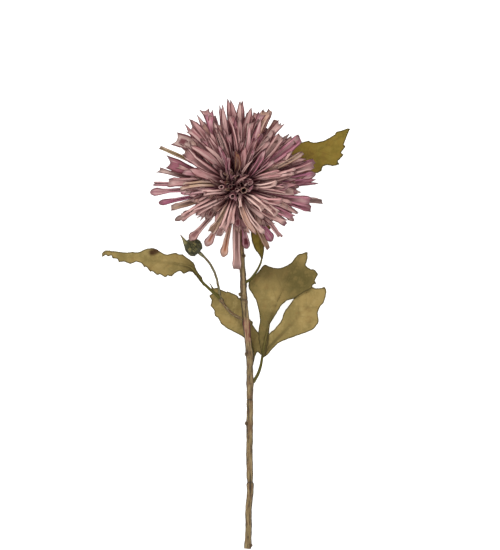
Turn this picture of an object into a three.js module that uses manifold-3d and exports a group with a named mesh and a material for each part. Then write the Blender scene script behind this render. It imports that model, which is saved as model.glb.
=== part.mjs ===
// A spoon-quilled chrysanthemum, cut with one side bud and five leaves, lying face up on a table.
// Millimetres. +Z is up and the table is z = 0. The stem runs along Y, with its cut end at -Y.
import * as THREE from "three";
import { mergeVertices } from "three/addons/utils/BufferGeometryUtils.js";
import Module from "manifold-3d";

const wasm = await Module();
wasm.setup();

const GAP = 0.3; // clearance between pieces that touch
const GOLDEN_ANGLE = Math.PI * (3 - Math.sqrt(5));

// The bloom opens upwards from this point, in the middle of its receptacle.
const BLOOM = new THREE.Vector3(8, 103, 29);
const RECEPTACLE = { bottom: 22.6, top: 35.5, radius: 9.5, crown: 6.2 };

// Main stem: centreline points [x, y, z] from the cut end to the neck under the bloom.
const STEM_LINE = [
  [16.0, -169.6, 2.6], [16.9, -155, 2.6], [17.1, -142, 2.8], [18.3, -126, 3.2], [18.1, -104, 3.9],
  [18.0, -74, 4.9], [18.0, -45, 5.9], [17.7, -25, 6.6], [16.4, -11, 7.2], [14.9, 5, 7.7],
  [13.6, 18, 7.8], [12.8, 35, 7.4], [11.6, 52, 6.8], [10.8, 66, 6.5], [9.7, 80, 6.6],
  [8.7, 91, 7.6], [8.1, 98.5, 9.6], [8, 102.4, 12.2], [8, 103, 15.4],
];
const STEM_RADIUS = { cut: 2.25, neck: 1.75 };
// Swellings where leaves and branches leave: [distance along Y, extra radius, half length].
const STEM_NODES = [
  [-167, 0.35, 3], [-122, 0.35, 3], [-75, 0.25, 3], [-44, 0.45, 4],
  [-24, 0.45, 4], [-1, 0.5, 5], [18, 0.4, 3], [29, 0.35, 3], [50, 0.3, 2],
];
const STEM_WAIST = { y: -118, depth: 0.45, halfLength: 1.6 };
const BUD_SCARS = [[18.6, -167, 3.6], [15.2, -75, 6.2], [15.1, -23, 8.4], [10.5, 22, 9.2], [13.6, 51, 9.1]];
const SCAR_RADIUS = 1.5;

// Side branch that carries the bud, from the main stem to the back of the bud.
const BRANCH_LINE = [
  [12.2, 3.4, 8.6], [8.5, 5.2, 9.0], [3.5, 8.5, 9.2], [-3.5, 17.5, 9.2],
  [-5.5, 26.5, 9.4], [-8.0, 37, 9.6], [-13.2, 46.5, 9.6], [-19.5, 52.75, 9.2],
];
const BRANCH_RADIUS = { root: 1.5, tip: 1.05, collar: 1.6 };

// Flower bud: a globe of green scales with one long pointed sepal.
const BUD = { centre: new THREE.Vector3(-24.6, 57.6, 9.3), radius: 6.0, length: 13.4 };
const BUD_AXIS = new THREE.Vector3(-0.72, 0.69, 0.02).normalize();
const BUD_SEPAL_TIP = new THREE.Vector3(-34.2, 66.2, 11.5);

// Outermost ray florets, which give the bloom its outline:
// [azimuth in degrees, reach in plan, height of the tip, half width of the tip, tip form].
const RIM_FLORETS = [
  [96, 65, 16, 2.8, "pointed"], [86, 63, 20, 3.0, "notched"], [102, 62.5, 9, 2.2, "pointed"],
  [113, 63, 14, 3.2, "notched"], [119, 62, 7, 2.6, "pointed"], [125, 62.5, 1.2, 2.4, "pointed"],
  [130, 61, 20, 2.4, "notched"], [143, 60, 17, 4.8, "notched"], [153, 65, 10, 1.6, "quill"],
  [161, 55.5, 20, 3.8, "notched"], [168, 60.5, 8, 2.0, "pointed"], [178, 62.5, 1.4, 2.0, "quill"],
  [184, 65, 15, 2.9, "spoon"], [192, 60, 6, 2.2, "spoon"], [198, 52, 12, 2.6, "pointed"],
  [209, 53, 8, 2.0, "quill"], [209, 46.5, 19, 2.4, "spoon"], [229, 53.5, 18.5, 2.6, "spoon"],
  [243, 50.5, 13, 3.0, "spoon"], [250, 40, 24, 2.6, "pointed"], [259, 54, 12, 2.9, "spoon"],
  [270, 62.5, 12.5, 3.0, "blunt"], [279, 47.5, 14, 2.9, "spoon"], [303, 49, 15, 3.2, "spoon"],
  [297, 53, 11.5, 1.9, "blunt"], [311, 50, 19, 2.4, "pointed"], [322, 47, 15, 2.5, "blunt"],
  [329, 50, 20, 2.2, "spoon"], [337, 50.5, 13, 2.0, "quill"], [343, 58.5, 16, 3.6, "notched"],
  [350, 65.5, 10, 2.4, "blunt"], [2, 61.5, 18, 2.2, "pointed"], [9, 60, 11, 2.8, "spoon"],
  [18, 61.5, 15, 3.0, "blunt"], [27, 55.5, 13, 2.2, "quill"], [37, 60, 19, 3.6, "blunt"],
  [45, 56, 9, 2.4, "pointed"], [55, 58.5, 1.2, 2.6, "pointed"], [66, 62.5, 17, 3.0, "blunt"],
  [73, 57, 9, 2.4, "notched"], [79, 59, 15, 2.6, "blunt"],
];

// Inner ray florets fill the dome by the golden angle, from the rim up to the heart.
const INNER = { count: 124, widest: 84, narrowest: 14, crownReach: 29, seed: 303 };
// Reach of the inner florets near the rim: longest towards this azimuth, shortest on the stem's side,
// where the rim florets stand apart beyond them.
const BODY = { reach: 46, swing: 12, azimuth: 68 };
// Tips away from the stem are pointed or notched, and those on its side are mostly spoons.
const TIP_FORMS = {
  far: ["pointed", "notched", "blunt", "pointed"],
  near: ["spoon", "blunt", "spoon", "quill"],
};

// Heart: short tube florets that stand on a small button.
const HEART = { count: 9, bottom: 35.8, rimTop: 38.6, radius: 5.6, height: 14, tubeRadius: 1.25 };

// Green cup of bracts under the bloom.
const CALYX = { bottom: 15.9, top: 22.3, radius: 9.0, neck: 3.0, bracts: 12, bractLength: 7.5 };

const BLADE_THICKNESS = 0.8;
const BLADE_CELL = 7; // grid of the waved blades
const PETIOLE_SIDES = 6;

const deg = THREE.MathUtils.degToRad;
const lerp = THREE.MathUtils.lerp;
const smooth = THREE.MathUtils.smoothstep;

// Seeded draws, the same on every run: each call gives the next number from 0 to 1.
function seededDraws(seed) {
  let state = seed;
  return () => {
    state = (state * 16807) % 2147483647;
    return state / 2147483647;
  };
}

function solidOf(geometry) {
  geometry.deleteAttribute("normal");
  geometry.deleteAttribute("uv");
  const merged = mergeVertices(geometry, 1e-4);
  return new wasm.Manifold(new wasm.Mesh({
    numProp: 3,
    vertProperties: merged.attributes.position.array,
    triVerts: new Uint32Array(merged.index.array),
  }));
}

function geometryOf(solid) {
  const mesh = solid.getMesh();
  const points = new Float32Array(mesh.numVert * 3);
  for (let i = 0; i < mesh.numVert; i += 1) {
    points.set(mesh.vertProperties.subarray(i * mesh.numProp, i * mesh.numProp + 3), i * 3);
  }
  const geometry = new THREE.BufferGeometry();
  geometry.setAttribute("position", new THREE.BufferAttribute(points, 3));
  geometry.setIndex(new THREE.BufferAttribute(new Uint32Array(mesh.triVerts), 1));
  geometry.computeVertexNormals();
  return geometry;
}

// Joins solids in pairs, so that no join works on more than it must.
function joined(solids) {
  let layer = solids;
  while (layer.length > 1) {
    const next = [];
    for (let i = 0; i < layer.length; i += 2) {
      next.push(i + 1 < layer.length ? layer[i].add(layer[i + 1]) : layer[i]);
    }
    layer = next;
  }
  return layer[0];
}

// The outer skin alone, so that pockets shut in between crossing pieces are filled.
function withoutPockets(solid) {
  return solid.decompose().reduce((most, body) => (body.volume() > most.volume() ? body : most));
}

// A closed skin over rings of points that all have the same count, with a fan over each end.
function skinned(rings) {
  const sides = rings[0].length;
  const points = rings.flat().flatMap((p) => [p.x, p.y, p.z]);
  const faces = [];
  for (let r = 0; r + 1 < rings.length; r += 1) {
    for (let s = 0; s < sides; s += 1) {
      const a = r * sides + s;
      const b = r * sides + ((s + 1) % sides);
      faces.push(a, b, b + sides, a, b + sides, a + sides);
    }
  }
  const last = (rings.length - 1) * sides;
  for (let s = 1; s + 1 < sides; s += 1) {
    faces.push(0, s + 1, s);
    faces.push(last, last + s, last + s + 1);
  }
  const geometry = new THREE.BufferGeometry();
  geometry.setAttribute("position", new THREE.Float32BufferAttribute(points, 3));
  geometry.setIndex(faces);
  return solidOf(geometry);
}

// A round shoot along a line of points, with its radius given by radiusAt(share, point).
function shoot(line, steps, sides, radiusAt) {
  const curve = new THREE.CatmullRomCurve3(line.map((p) => new THREE.Vector3(...p)), false, "centripetal");
  const up = new THREE.Vector3(0, 0, 1);
  const rings = [];
  let across = new THREE.Vector3().crossVectors(curve.getTangentAt(0), up).normalize();
  for (let i = 0; i <= steps; i += 1) {
    const centre = curve.getPointAt(i / steps);
    const along = curve.getTangentAt(i / steps);
    across = across.clone().addScaledVector(along, -across.dot(along)).normalize();
    const lift = new THREE.Vector3().crossVectors(across, along);
    const radius = radiusAt(i / steps, centre);
    rings.push(Array.from({ length: sides }, (_, s) => {
      const angle = (s / sides) * Math.PI * 2;
      return centre.clone()
        .addScaledVector(across, -Math.cos(angle) * radius)
        .addScaledVector(lift, Math.sin(angle) * radius);
    }));
  }
  return skinned(rings);
}

function ball(x, y, z, radius, sides = 6, rings = 4) {
  return solidOf(new THREE.SphereGeometry(radius, sides, rings).translate(x, y, z));
}

function bump(distance, height, halfLength) {
  return height * Math.exp(-((distance / halfLength) ** 2));
}

function makeStem() {
  const radiusAt = (share, p) => {
    const taper = lerp(STEM_RADIUS.cut, STEM_RADIUS.neck, share);
    const swollen = STEM_NODES.reduce((sum, [y, extra, half]) => sum + bump(p.y - y, extra, half), 0);
    const waist = bump(p.y - STEM_WAIST.y, STEM_WAIST.depth, STEM_WAIST.halfLength);
    return taper + (p.z < BLOOM.z / 3 ? swollen - waist : 0);
  };
  const scars = BUD_SCARS.map(([x, y, z]) => ball(x, y, z, SCAR_RADIUS));
  return joined([shoot(STEM_LINE, 52, 8, radiusAt), ...scars]);
}

function makeBranch() {
  const radiusAt = (share) => {
    const taper = lerp(BRANCH_RADIUS.root, BRANCH_RADIUS.tip, smooth(share, 0, 0.5));
    return lerp(taper, BRANCH_RADIUS.collar, smooth(share, 0.88, 0.97));
  };
  return joined([shoot(BRANCH_LINE, 26, 6, radiusAt), ball(-3.6, 17.4, 9.2, 2.0)]);
}

// Turns +Z of a geometry to a direction and sets it down at a point.
function aimed(geometry, direction, at) {
  const turn = new THREE.Quaternion().setFromUnitVectors(new THREE.Vector3(0, 0, 1), direction);
  return geometry.applyQuaternion(turn).translate(at.x, at.y, at.z);
}

// One thick pointed scale: rings of four points from its root to its tip.
function scale(root, middle, tip, side, halfWidth, thickness) {
  const curve = new THREE.QuadraticBezierCurve3(root, middle, tip);
  const rings = [[0, 0.75], [0.4, 1], [0.75, 0.62], [1, 0.08]].map(([share, width]) => {
    const centre = curve.getPoint(share);
    const lift = new THREE.Vector3().crossVectors(side, curve.getTangent(share)).normalize();
    const half = halfWidth * width;
    const deep = thickness * lerp(1, 0.5, share) * 0.5;
    return [
      centre.clone().addScaledVector(lift, deep),
      centre.clone().addScaledVector(side, half),
      centre.clone().addScaledVector(lift, -deep),
      centre.clone().addScaledVector(side, -half),
    ];
  });
  return skinned(rings);
}

function makeBud() {
  const half = BUD.length / 2;
  const profile = [[0, -1], [0.45, -0.93], [0.86, -0.55], [1, -0.05], [0.88, 0.5], [0.5, 0.86], [0, 1]]
    .map(([r, z]) => new THREE.Vector2(r * BUD.radius, z * half));
  const body = new THREE.LatheGeometry(profile, 12).rotateX(Math.PI / 2);
  const solids = [solidOf(aimed(body, BUD_AXIS, BUD.centre))];
  const across = new THREE.Vector3().crossVectors(BUD_AXIS, new THREE.Vector3(0, 0, 1)).normalize();
  const turn = (vector, angle) => vector.clone().applyAxisAngle(BUD_AXIS, angle);
  const station = (out, angle, height) => turn(across, angle).multiplyScalar(out * BUD.radius)
    .addScaledVector(BUD_AXIS, height * half).add(BUD.centre);
  for (let row = 0; row < 2; row += 1) {
    for (let i = 0; i < 7; i += 1) {
      const angle = ((i + row / 2) / 7) * Math.PI * 2;
      const side = turn(across, angle + Math.PI / 2);
      solids.push(scale(station(0.8, angle, -0.7 + row * 0.5), station(1.16, angle, -0.1 + row * 0.5),
        station(0.82, angle, 0.5 + row * 0.4), side, 2.3, 1.3));
    }
  }
  const sepalRoot = BUD.centre.clone().addScaledVector(BUD_AXIS, half * 0.3)
    .addScaledVector(across, -BUD.radius * 0.55);
  const sepalMiddle = sepalRoot.clone().lerp(BUD_SEPAL_TIP, 0.6).addScaledVector(across, -1.0);
  solids.push(scale(sepalRoot, sepalMiddle, BUD_SEPAL_TIP, new THREE.Vector3(0, 0, 1), 2.2, 2.0));
  return joined(solids);
}

// Unit direction that leans out from straight up by lean, towards azimuth.
function direction(lean, azimuth) {
  return new THREE.Vector3(
    Math.sin(lean) * Math.cos(azimuth), Math.sin(lean) * Math.sin(azimuth), Math.cos(lean));
}

// Shares of length at which a ray floret changes width, for each form of its tip:
// [share, half width over that of the tip, depth of the channel over its half width, edge advance in mm].
const FLORET_STATIONS = {
  spoon: [[0, 0.3, 0.5, 0], [0.5, 0.58, 0.95, 0], [0.9, 1, 0.6, 0], [1, 0.5, 0.35, 0]],
  blunt: [[0, 0.3, 0.5, 0], [0.5, 0.68, 0.95, 0], [1, 1, 0.5, 0]],
  notched: [[0, 0.3, 0.5, 0], [0.6, 0.6, 0.9, 0], [1, 1, 0.35, 2.4]],
  pointed: [[0, 0.3, 0.5, 0], [0.4, 0.7, 0.95, 0], [0.8, 1, 0.7, 0], [1, 0.2, 0.5, 0]],
  quill: [[0, 0.4, 0.5, 0], [0.45, 0.9, 0.8, 0], [1, 1, 0.7, 0]],
};
const FLORET_THICKNESS = 1.1;

// One ray floret: a channel folded along its length, from root to tip over a middle control point.
function rayFloret({ root, middle, tip, azimuth, halfWidth, form, roll }) {
  const curve = new THREE.QuadraticBezierCurve3(root, middle, tip);
  const side = new THREE.Vector3(-Math.sin(azimuth), Math.cos(azimuth), 0);
  const rings = FLORET_STATIONS[form].map(([share, width, depth, advance]) => {
    const along = curve.getTangent(share);
    const across = side.clone().applyAxisAngle(along, roll * smooth(share, 0, 0.6));
    const lift = new THREE.Vector3().crossVectors(along, across).normalize();
    const half = halfWidth * width;
    const thick = FLORET_THICKNESS * lerp(0.65, 1, smooth(share, 0, 0.4));
    const keel = curve.getPoint(share).addScaledVector(lift, -half * depth * 0.5);
    const edge = half * depth + thick * 0.5;
    return [
      keel.clone().addScaledVector(lift, thick),
      keel.clone().addScaledVector(across, -half).addScaledVector(lift, edge).addScaledVector(along, advance),
      keel,
      keel.clone().addScaledVector(across, half).addScaledVector(lift, edge).addScaledVector(along, advance),
    ];
  });
  return skinned(rings);
}

const SINK = 4.5; // how deep roots start inside the receptacle

function rimFlorets() {
  const draw = seededDraws(INNER.seed + 1);
  return RIM_FLORETS.map(([degrees, reach, height, halfWidth, form]) => {
    const azimuth = deg(degrees);
    const out = direction(Math.PI / 2, azimuth);
    const rootLift = lerp(-3.2, 0.5, smooth(height, 0, 20));
    const tip = BLOOM.clone().addScaledVector(out, reach).setZ(height);
    const middle = BLOOM.clone().addScaledVector(out, reach * 0.5);
    middle.z += lerp(-1.5, 4, smooth(height, 0, 22));
    return {
      root: BLOOM.clone().addScaledVector(out, SINK).add(new THREE.Vector3(0, 0, rootLift)),
      middle, tip, azimuth, halfWidth, form, roll: deg(lerp(-14, 14, draw())),
    };
  });
}

function innerFlorets() {
  const draw = seededDraws(INNER.seed);
  const low = Math.cos(deg(INNER.widest));
  const high = Math.cos(deg(INNER.narrowest));
  return Array.from({ length: INNER.count }, (_, i) => {
    const share = (i + 0.5) / INNER.count;
    const lean = Math.acos(lerp(low, high, share)) + deg(lerp(-2.5, 2.5, draw()));
    const azimuth = i * GOLDEN_ANGLE + deg(lerp(-3, 3, draw()));
    const rimReach = BODY.reach + BODY.swing * Math.cos(azimuth - deg(BODY.azimuth));
    const reach = lerp(INNER.crownReach, rimReach, smooth(lean, 0, deg(72))) * lerp(0.9, 1.04, draw());
    const forms = Math.sin(azimuth) > -0.1 ? TIP_FORMS.far : TIP_FORMS.near;
    const form = forms[Math.floor(draw() * forms.length)];
    const out = direction(Math.PI / 2, azimuth);
    const spread = lerp(7, 0, smooth(lean, deg(15), deg(60)));
    return {
      root: BLOOM.clone().addScaledVector(direction(lean, azimuth), SINK).addScaledVector(out, spread * 0.88),
      middle: BLOOM.clone().addScaledVector(direction(lean - deg(4), azimuth), reach * 0.52)
        .addScaledVector(out, spread),
      tip: BLOOM.clone().addScaledVector(direction(lean, azimuth), reach).addScaledVector(out, spread * 0.3),
      azimuth, halfWidth: lerp(1.7, 2.5, smooth(lean, 0, deg(60))) * lerp(0.85, 1.15, draw()), form,
      roll: deg(lerp(-24, 24, draw())),
    };
  });
}

function makeRayFlorets() {
  const { bottom, top, radius, crown } = RECEPTACLE;
  const profile = [[0, bottom], [radius * 0.8, bottom], [radius, bottom + 3], [radius, bottom + 7],
    [radius * 0.86, top - 2], [crown, top], [0, top]].map(([r, z]) => new THREE.Vector2(r, z));
  const receptacle = solidOf(new THREE.LatheGeometry(profile, 16).rotateX(Math.PI / 2)
    .translate(BLOOM.x, BLOOM.y, 0));
  return withoutPockets(joined([receptacle, ...[...rimFlorets(), ...innerFlorets()].map(rayFloret)]));
}

// Short tubes on a small button, each a four-sided shoot that opens a little at its mouth.
function makeHeart() {
  const { count, bottom, rimTop, radius, height, tubeRadius } = HEART;
  const profile = [[0, bottom], [radius, bottom], [radius, rimTop - 0.8], [radius * 0.6, rimTop], [0, rimTop]]
    .map(([r, z]) => new THREE.Vector2(r, z));
  const solids = [solidOf(new THREE.LatheGeometry(profile, 12).rotateX(Math.PI / 2)
    .translate(BLOOM.x, BLOOM.y, 0))];
  const draw = seededDraws(INNER.seed + 2);
  for (let i = 0; i < count; i += 1) {
    const share = Math.sqrt((i + 0.5) / count);
    const azimuth = i * GOLDEN_ANGLE;
    const out = direction(Math.PI / 2, azimuth);
    const length = height * lerp(0.8, 1, draw()) * lerp(0.75, 1, share);
    const foot = new THREE.Vector3(BLOOM.x, BLOOM.y, bottom + 1).addScaledVector(out, share * radius * 0.78);
    const head = foot.clone().addScaledVector(out, share * 2.4);
    head.z = bottom + length;
    const line = [foot, foot.clone().lerp(head, 0.7), head].map((p) => [p.x, p.y, p.z]);
    solids.push(shoot(line, 2, 4, (along) => tubeRadius * lerp(0.7, 1.15, along)));
  }
  return joined(solids);
}

function makeCalyx() {
  const { bottom, top, radius, neck, bracts, bractLength } = CALYX;
  const profile = [[0, bottom], [neck, bottom], [radius * 0.7, bottom + 1.8], [radius, top - 1.6],
    [radius, top], [0, top]].map(([r, z]) => new THREE.Vector2(r, z));
  const solids = [solidOf(new THREE.LatheGeometry(profile, 14).rotateX(Math.PI / 2)
    .translate(BLOOM.x, BLOOM.y, 0))];
  for (let i = 0; i < bracts; i += 1) {
    const azimuth = (i / bracts) * Math.PI * 2;
    const out = direction(Math.PI / 2, azimuth);
    const at = (r, z) => new THREE.Vector3(BLOOM.x, BLOOM.y, z).addScaledVector(out, r);
    const side = new THREE.Vector3(-out.y, out.x, 0);
    const drop = i % 2 ? 0 : 0.9;
    solids.push(scale(at(radius * 0.6, bottom + 1.6), at(radius + 1, bottom + 1.9 - drop * 0.4),
      at(radius + bractLength * 0.62, top - 2.4 - drop), side, 1.9, 1.3));
  }
  return joined(solids);
}

// A leaf blade is a waved sheet cut to an outline. The sheet's height follows its midrib:
// u runs from 0 at the base to 1 at the tip, and v is the distance to the side of the bowed line
// between them. The stalk runs on over the blade as its midrib, through points inside the outline.
class Leaf {
  constructor({ base, tip, bow, heights, fold, tilt, wave, outlines, petiole, petioleRadius, midrib }) {
    Object.assign(this, { base, tip, bow, heights, fold, tilt, wave, outlines, petiole, petioleRadius, midrib });
    this.length = Math.hypot(tip[0] - base[0], tip[1] - base[1]);
    this.ax = (tip[0] - base[0]) / this.length;
    this.ay = (tip[1] - base[1]) / this.length;
  }

  height(x, y, lift = 0) {
    const dx = x - this.base[0];
    const dy = y - this.base[1];
    const u = (dx * this.ax + dy * this.ay) / this.length;
    const v = dy * this.ax - dx * this.ay - this.bow * 4 * u * (1 - u);
    const [atBase, atMiddle, atTip] = this.heights;
    const along = atBase * (1 - u) * (1 - 2 * u) + atMiddle * 4 * u * (1 - u) + atTip * u * (2 * u - 1);
    const [swing, turns, phase] = this.wave;
    const ripple = swing * Math.sin(Math.PI * 2 * (turns * u + phase)) * Math.min(1, Math.abs(v) / 12) * Math.sign(v);
    return along + this.fold * (Math.sqrt(v * v + 4) - 2) + this.tilt * v + ripple + lift;
  }

  sheet(outline, lift) {
    const xs = outline.map((p) => p[0]);
    const ys = outline.map((p) => p[1]);
    const [x0, x1, y0, y1] = [Math.min(...xs) - 1, Math.max(...xs) + 1, Math.min(...ys) - 1, Math.max(...ys) + 1];
    const nx = Math.ceil((x1 - x0) / BLADE_CELL);
    const ny = Math.ceil((y1 - y0) / BLADE_CELL);
    const geometry = new THREE.BoxGeometry(x1 - x0, y1 - y0, BLADE_THICKNESS, nx, ny, 1)
      .translate((x0 + x1) / 2, (y0 + y1) / 2, 0);
    const points = geometry.attributes.position;
    for (let i = 0; i < points.count; i += 1) {
      points.setZ(i, points.getZ(i) + this.height(points.getX(i), points.getY(i), lift));
    }
    const cutter = new THREE.ExtrudeGeometry(
      new THREE.Shape(outline.map(([x, y]) => new THREE.Vector2(x, y))), { depth: 80, bevelEnabled: false });
    return solidOf(geometry).intersect(solidOf(cutter.translate(0, 0, -30)));
  }

  solid() {
    const blades = this.outlines.map(({ points, lift = 0 }) => this.sheet(points, lift));
    const line = [...this.petiole, ...this.midrib.map(([x, y]) => [x, y, this.height(x, y, 0.15)])];
    const stalk = shoot(line, 14, PETIOLE_SIDES, (share) => lerp(this.petioleRadius, 0.55, share));
    return joined([...blades, stalk]);
  }
}

const LEAVES = {
  leaf_left: new Leaf({
    base: [-18, 31], tip: [-93.5, 51], bow: -5, heights: [9.5, 14, 3.6], fold: -0.34, tilt: -0.12,
    wave: [1.6, 1.6, 0.1], petioleRadius: 1.15,
    petiole: [[-6.8, 21.2, 9.3], [-9.8, 23.7, 9.4], [-14, 27.5, 9.4]],
    midrib: [[-17.6, 31], [-21.6, 37], [-27, 42.5], [-38, 45], [-52, 46.6], [-68, 49.6]],
    outlines: [{ points: [
      [-16.2, 28], [-18, 34.5], [-20, 37], [-22.5, 41], [-24.5, 45.8], [-27, 48], [-30.5, 50.2], [-32.5, 52],
      [-35, 52], [-38, 53.2], [-43, 52], [-46, 52.2], [-48.5, 53.5], [-52.5, 56], [-56, 56.8], [-61.5, 55.5],
      [-66, 53.5], [-71, 53.8], [-75.5, 53.5], [-84.5, 54.5], [-90.5, 55], [-93.2, 53], [-93, 50],
      [-91, 51.5], [-88.5, 50.6], [-86.3, 51.2], [-85.2, 49], [-81.5, 48.4], [-80.5, 46.2], [-76, 46.4],
      [-72, 44.8], [-67.5, 46.5], [-63, 45], [-61.5, 42.4], [-60, 42.6], [-57, 39], [-55.5, 39.4], [-51.5, 36.4],
      [-49.5, 37], [-45.5, 34.8], [-43.5, 36.2], [-41, 35.4], [-38, 38], [-34.5, 39.4], [-31.5, 37.4],
      [-28, 39], [-25, 38.6], [-23.2, 36.4], [-19, 31],
    ] }],
  }),
  leaf_behind_stem: new Leaf({
    base: [19.2, -30], tip: [-13, 31], bow: 4, heights: [2.2, 1.5, 5.5], fold: 0.05, tilt: 0.0,
    wave: [0.5, 1.2, 0.2], petioleRadius: 1.0,
    petiole: [[19.1, -35.5, 3.3], [19.2, -32, 2.7]],
    midrib: [[19.4, -28], [19.8, -20], [17.5, -10], [11, 0], [3.5, 9], [-3.5, 17.5]],
    outlines: [{ points: [
      [18.2, -32], [20.2, -32], [21.5, -26], [23.5, -21.5], [26, -15], [24.6, -13], [24.5, -7], [20, -1], [20.2, 1],
      [17.5, 3.5], [16.8, 10], [14, 15.5], [10.5, 19.5], [9.8, 19], [7.5, 21.5], [3.5, 23.2], [1, 24.2], [0, 23.8],
      [-6.5, 26.8], [-9.3, 26.6], [-12.6, 31], [-10.6, 25], [-11.6, 24.5], [-10.6, 22.4], [-12.6, 20.8],
      [-10.9, 17], [-11.8, 13.3], [-9, 10], [-8.6, 5.8], [-6, 4], [-4, 0], [-2, -1.6], [1.5, -4.2], [5, -6], [13, -10.4],
      [15.8, -16], [17.2, -24],
    ] }],
  }),
  leaf_right: new Leaf({
    base: [27.5, -24], tip: [61, 53], bow: 6, heights: [7.2, 5.8, 4.2], fold: -0.08, tilt: -0.05,
    wave: [1.3, 1.1, 0.55], petioleRadius: 1.3,
    petiole: [[21.8, -41.8, 6.2], [24, -38, 6.6], [26, -32, 7.0]],
    midrib: [[27.9, -21], [31.8, -2.9], [38.5, 16.5], [48, 35.4]],
    outlines: [
      { lift: 0.9, points: [
        [27, -25], [29, -25], [31.5, -14], [32.4, -6.5], [33, -0.5], [38, 7.5], [42, 14], [46.5, 17.5], [51.5, 19],
        [57, 22.5], [64.8, 27], [65, 29], [68, 30.2], [66.8, 32.4], [69.2, 37], [66.5, 40.6], [63.5, 41],
        [60, 43.6], [61.2, 48.5], [61.2, 53.6], [58, 53], [53.5, 51.4], [50, 47], [46.5, 44], [41.5, 42],
        [35.5, 42], [29, 44.2], [26, 41], [21.5, 36], [17.6, 32], [17, 27], [20.5, 21], [23, 16], [25.2, 6.5],
        [25.2, 0], [24.2, -6.5], [25.2, -16.5],
      ] },
      { lift: -0.5, points: [
        [27, -25], [30.5, -24], [34, -20], [39, -15], [46.5, -11.5], [55, -8.6], [64.5, -5], [68, -1.5],
        [69.6, 1.5], [69, 8], [71, 13], [73.6, 16], [75.6, 23.5], [74, 27.6], [71.5, 26.6], [68, 26.4],
        [63.5, 27.6], [58, 25.5], [52.5, 20.5], [48, 14.5], [44, 9], [41.5, 2.5], [37, -3.6], [32.4, -7.6], [29.5, -12],
      ] },
    ],
  }),
  leaf_under_bloom: new Leaf({
    base: [27, 50], tip: [36, 96], bow: 0, heights: [7.2, 6.2, 3.0], fold: 0.18, tilt: 0.1,
    wave: [0.6, 1.4, 0], petioleRadius: 1.05,
    petiole: [[15.55, 31.5, 8.5], [18.5, 33.5, 8.8], [23, 39.5, 8.4], [26, 45.5, 7.6]],
    midrib: [[27, 51], [26.2, 60], [26.2, 69], [29, 79], [32.5, 87]],
    outlines: [{ points: [
      [26.4, 49], [27.6, 49], [28.6, 56], [29.2, 64], [31.6, 69], [34.6, 73.5], [34.2, 76], [37, 80.5], [37.6, 84],
      [39.4, 87], [37.8, 92], [36.2, 96.5], [33, 92.6], [31.6, 93], [29.4, 87.5], [27, 86], [25.6, 80.6],
      [23.2, 78], [21.6, 73], [19.4, 70.4], [22.2, 61], [24.4, 55],
    ] }],
  }),
  leaf_upper_right: new Leaf({
    base: [30, 112], tip: [93, 146.5], bow: -3, heights: [4.6, 3.4, 7.5], fold: -0.06, tilt: 0.05,
    wave: [0.9, 1.3, 0.3], petioleRadius: 1.2,
    petiole: [[10.8, 97.6, 9.3], [16, 101.5, 8.6], [24, 108.5, 6.2]],
    midrib: [[32.5, 113.2], [46.5, 119], [63, 126.8], [78, 135.5]],
    outlines: [{ points: [
      [29.2, 111.6], [31, 111], [38, 110.6], [44, 108.8], [50, 108.2], [56, 110.4], [61, 109.8], [66.5, 112.5],
      [68, 113.2], [71.6, 114.8], [72.6, 117.6], [75, 119.2], [77.5, 119.2], [80, 118.5], [83, 119], [85.4, 120],
      [84.2, 122.2], [86, 124.2], [88.4, 127], [86.6, 128.7], [89.8, 133], [88.6, 134.6], [89.6, 137.6],
      [91.5, 142.5], [93.4, 146.4], [90.5, 146.6], [86.5, 145], [83, 144.2], [81.5, 142], [76.5, 139.2],
      [73.5, 137.5], [68, 136.3], [63.5, 136.7], [62, 137.8], [58, 136.5], [53, 136.8], [49, 133], [44.5, 131],
      [41, 125.4], [36.5, 121], [33, 115.5],
    ] }],
  }),
};

const MATERIALS = {
  stem: { color: 0x7b6a4b, roughness: 0.82, metalness: 0 },
  branch: { color: 0x6d6547, roughness: 0.8, metalness: 0 },
  calyx: { color: 0x5b6136, roughness: 0.8, metalness: 0 },
  bud: { color: 0x4a5230, roughness: 0.75, metalness: 0 },
  ray_floret: { color: 0xa47a7c, roughness: 0.85, metalness: 0 },
  heart: { color: 0x5d3238, roughness: 0.85, metalness: 0 },
  leaf: { color: 0x857645, roughness: 0.8, metalness: 0 },
  leaf_green: { color: 0x7a6f24, roughness: 0.78, metalness: 0 },
};

function piece(name, solid, material) {
  const mesh = new THREE.Mesh(geometryOf(solid), new THREE.MeshStandardMaterial(MATERIALS[material]));
  mesh.name = name;
  return mesh;
}

const chrysanthemum = new THREE.Group();
chrysanthemum.name = "chrysanthemum";
chrysanthemum.add(
  piece("stem", makeStem(), "stem"),
  piece("side_branch", makeBranch(), "branch"),
  piece("bud", makeBud(), "bud"),
  piece("calyx", makeCalyx(), "calyx"),
  piece("ray_florets", makeRayFlorets(), "ray_floret"),
  piece("heart_florets", makeHeart(), "heart"),
);
for (const [name, leaf] of Object.entries(LEAVES)) {
  const green = name === "leaf_under_bloom" || name === "leaf_upper_right";
  chrysanthemum.add(piece(name, leaf.solid(), green ? "leaf_green" : "leaf"));
}

export default chrysanthemum;
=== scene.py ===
"""Looks of a cut chrysanthemum stem with a quilled, spooned bloom, a side bud and five leaves.

The stem lies on a pale table with its bloom facing up, and the camera looks straight down on it.
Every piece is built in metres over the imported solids, which stay as the collision shapes. The classes of
the parts hold their sizes in millimetres.
"""

from __future__ import annotations

import logging
import math
from collections.abc import Callable, Sequence
from dataclasses import dataclass
from enum import Enum
from functools import partial

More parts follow.
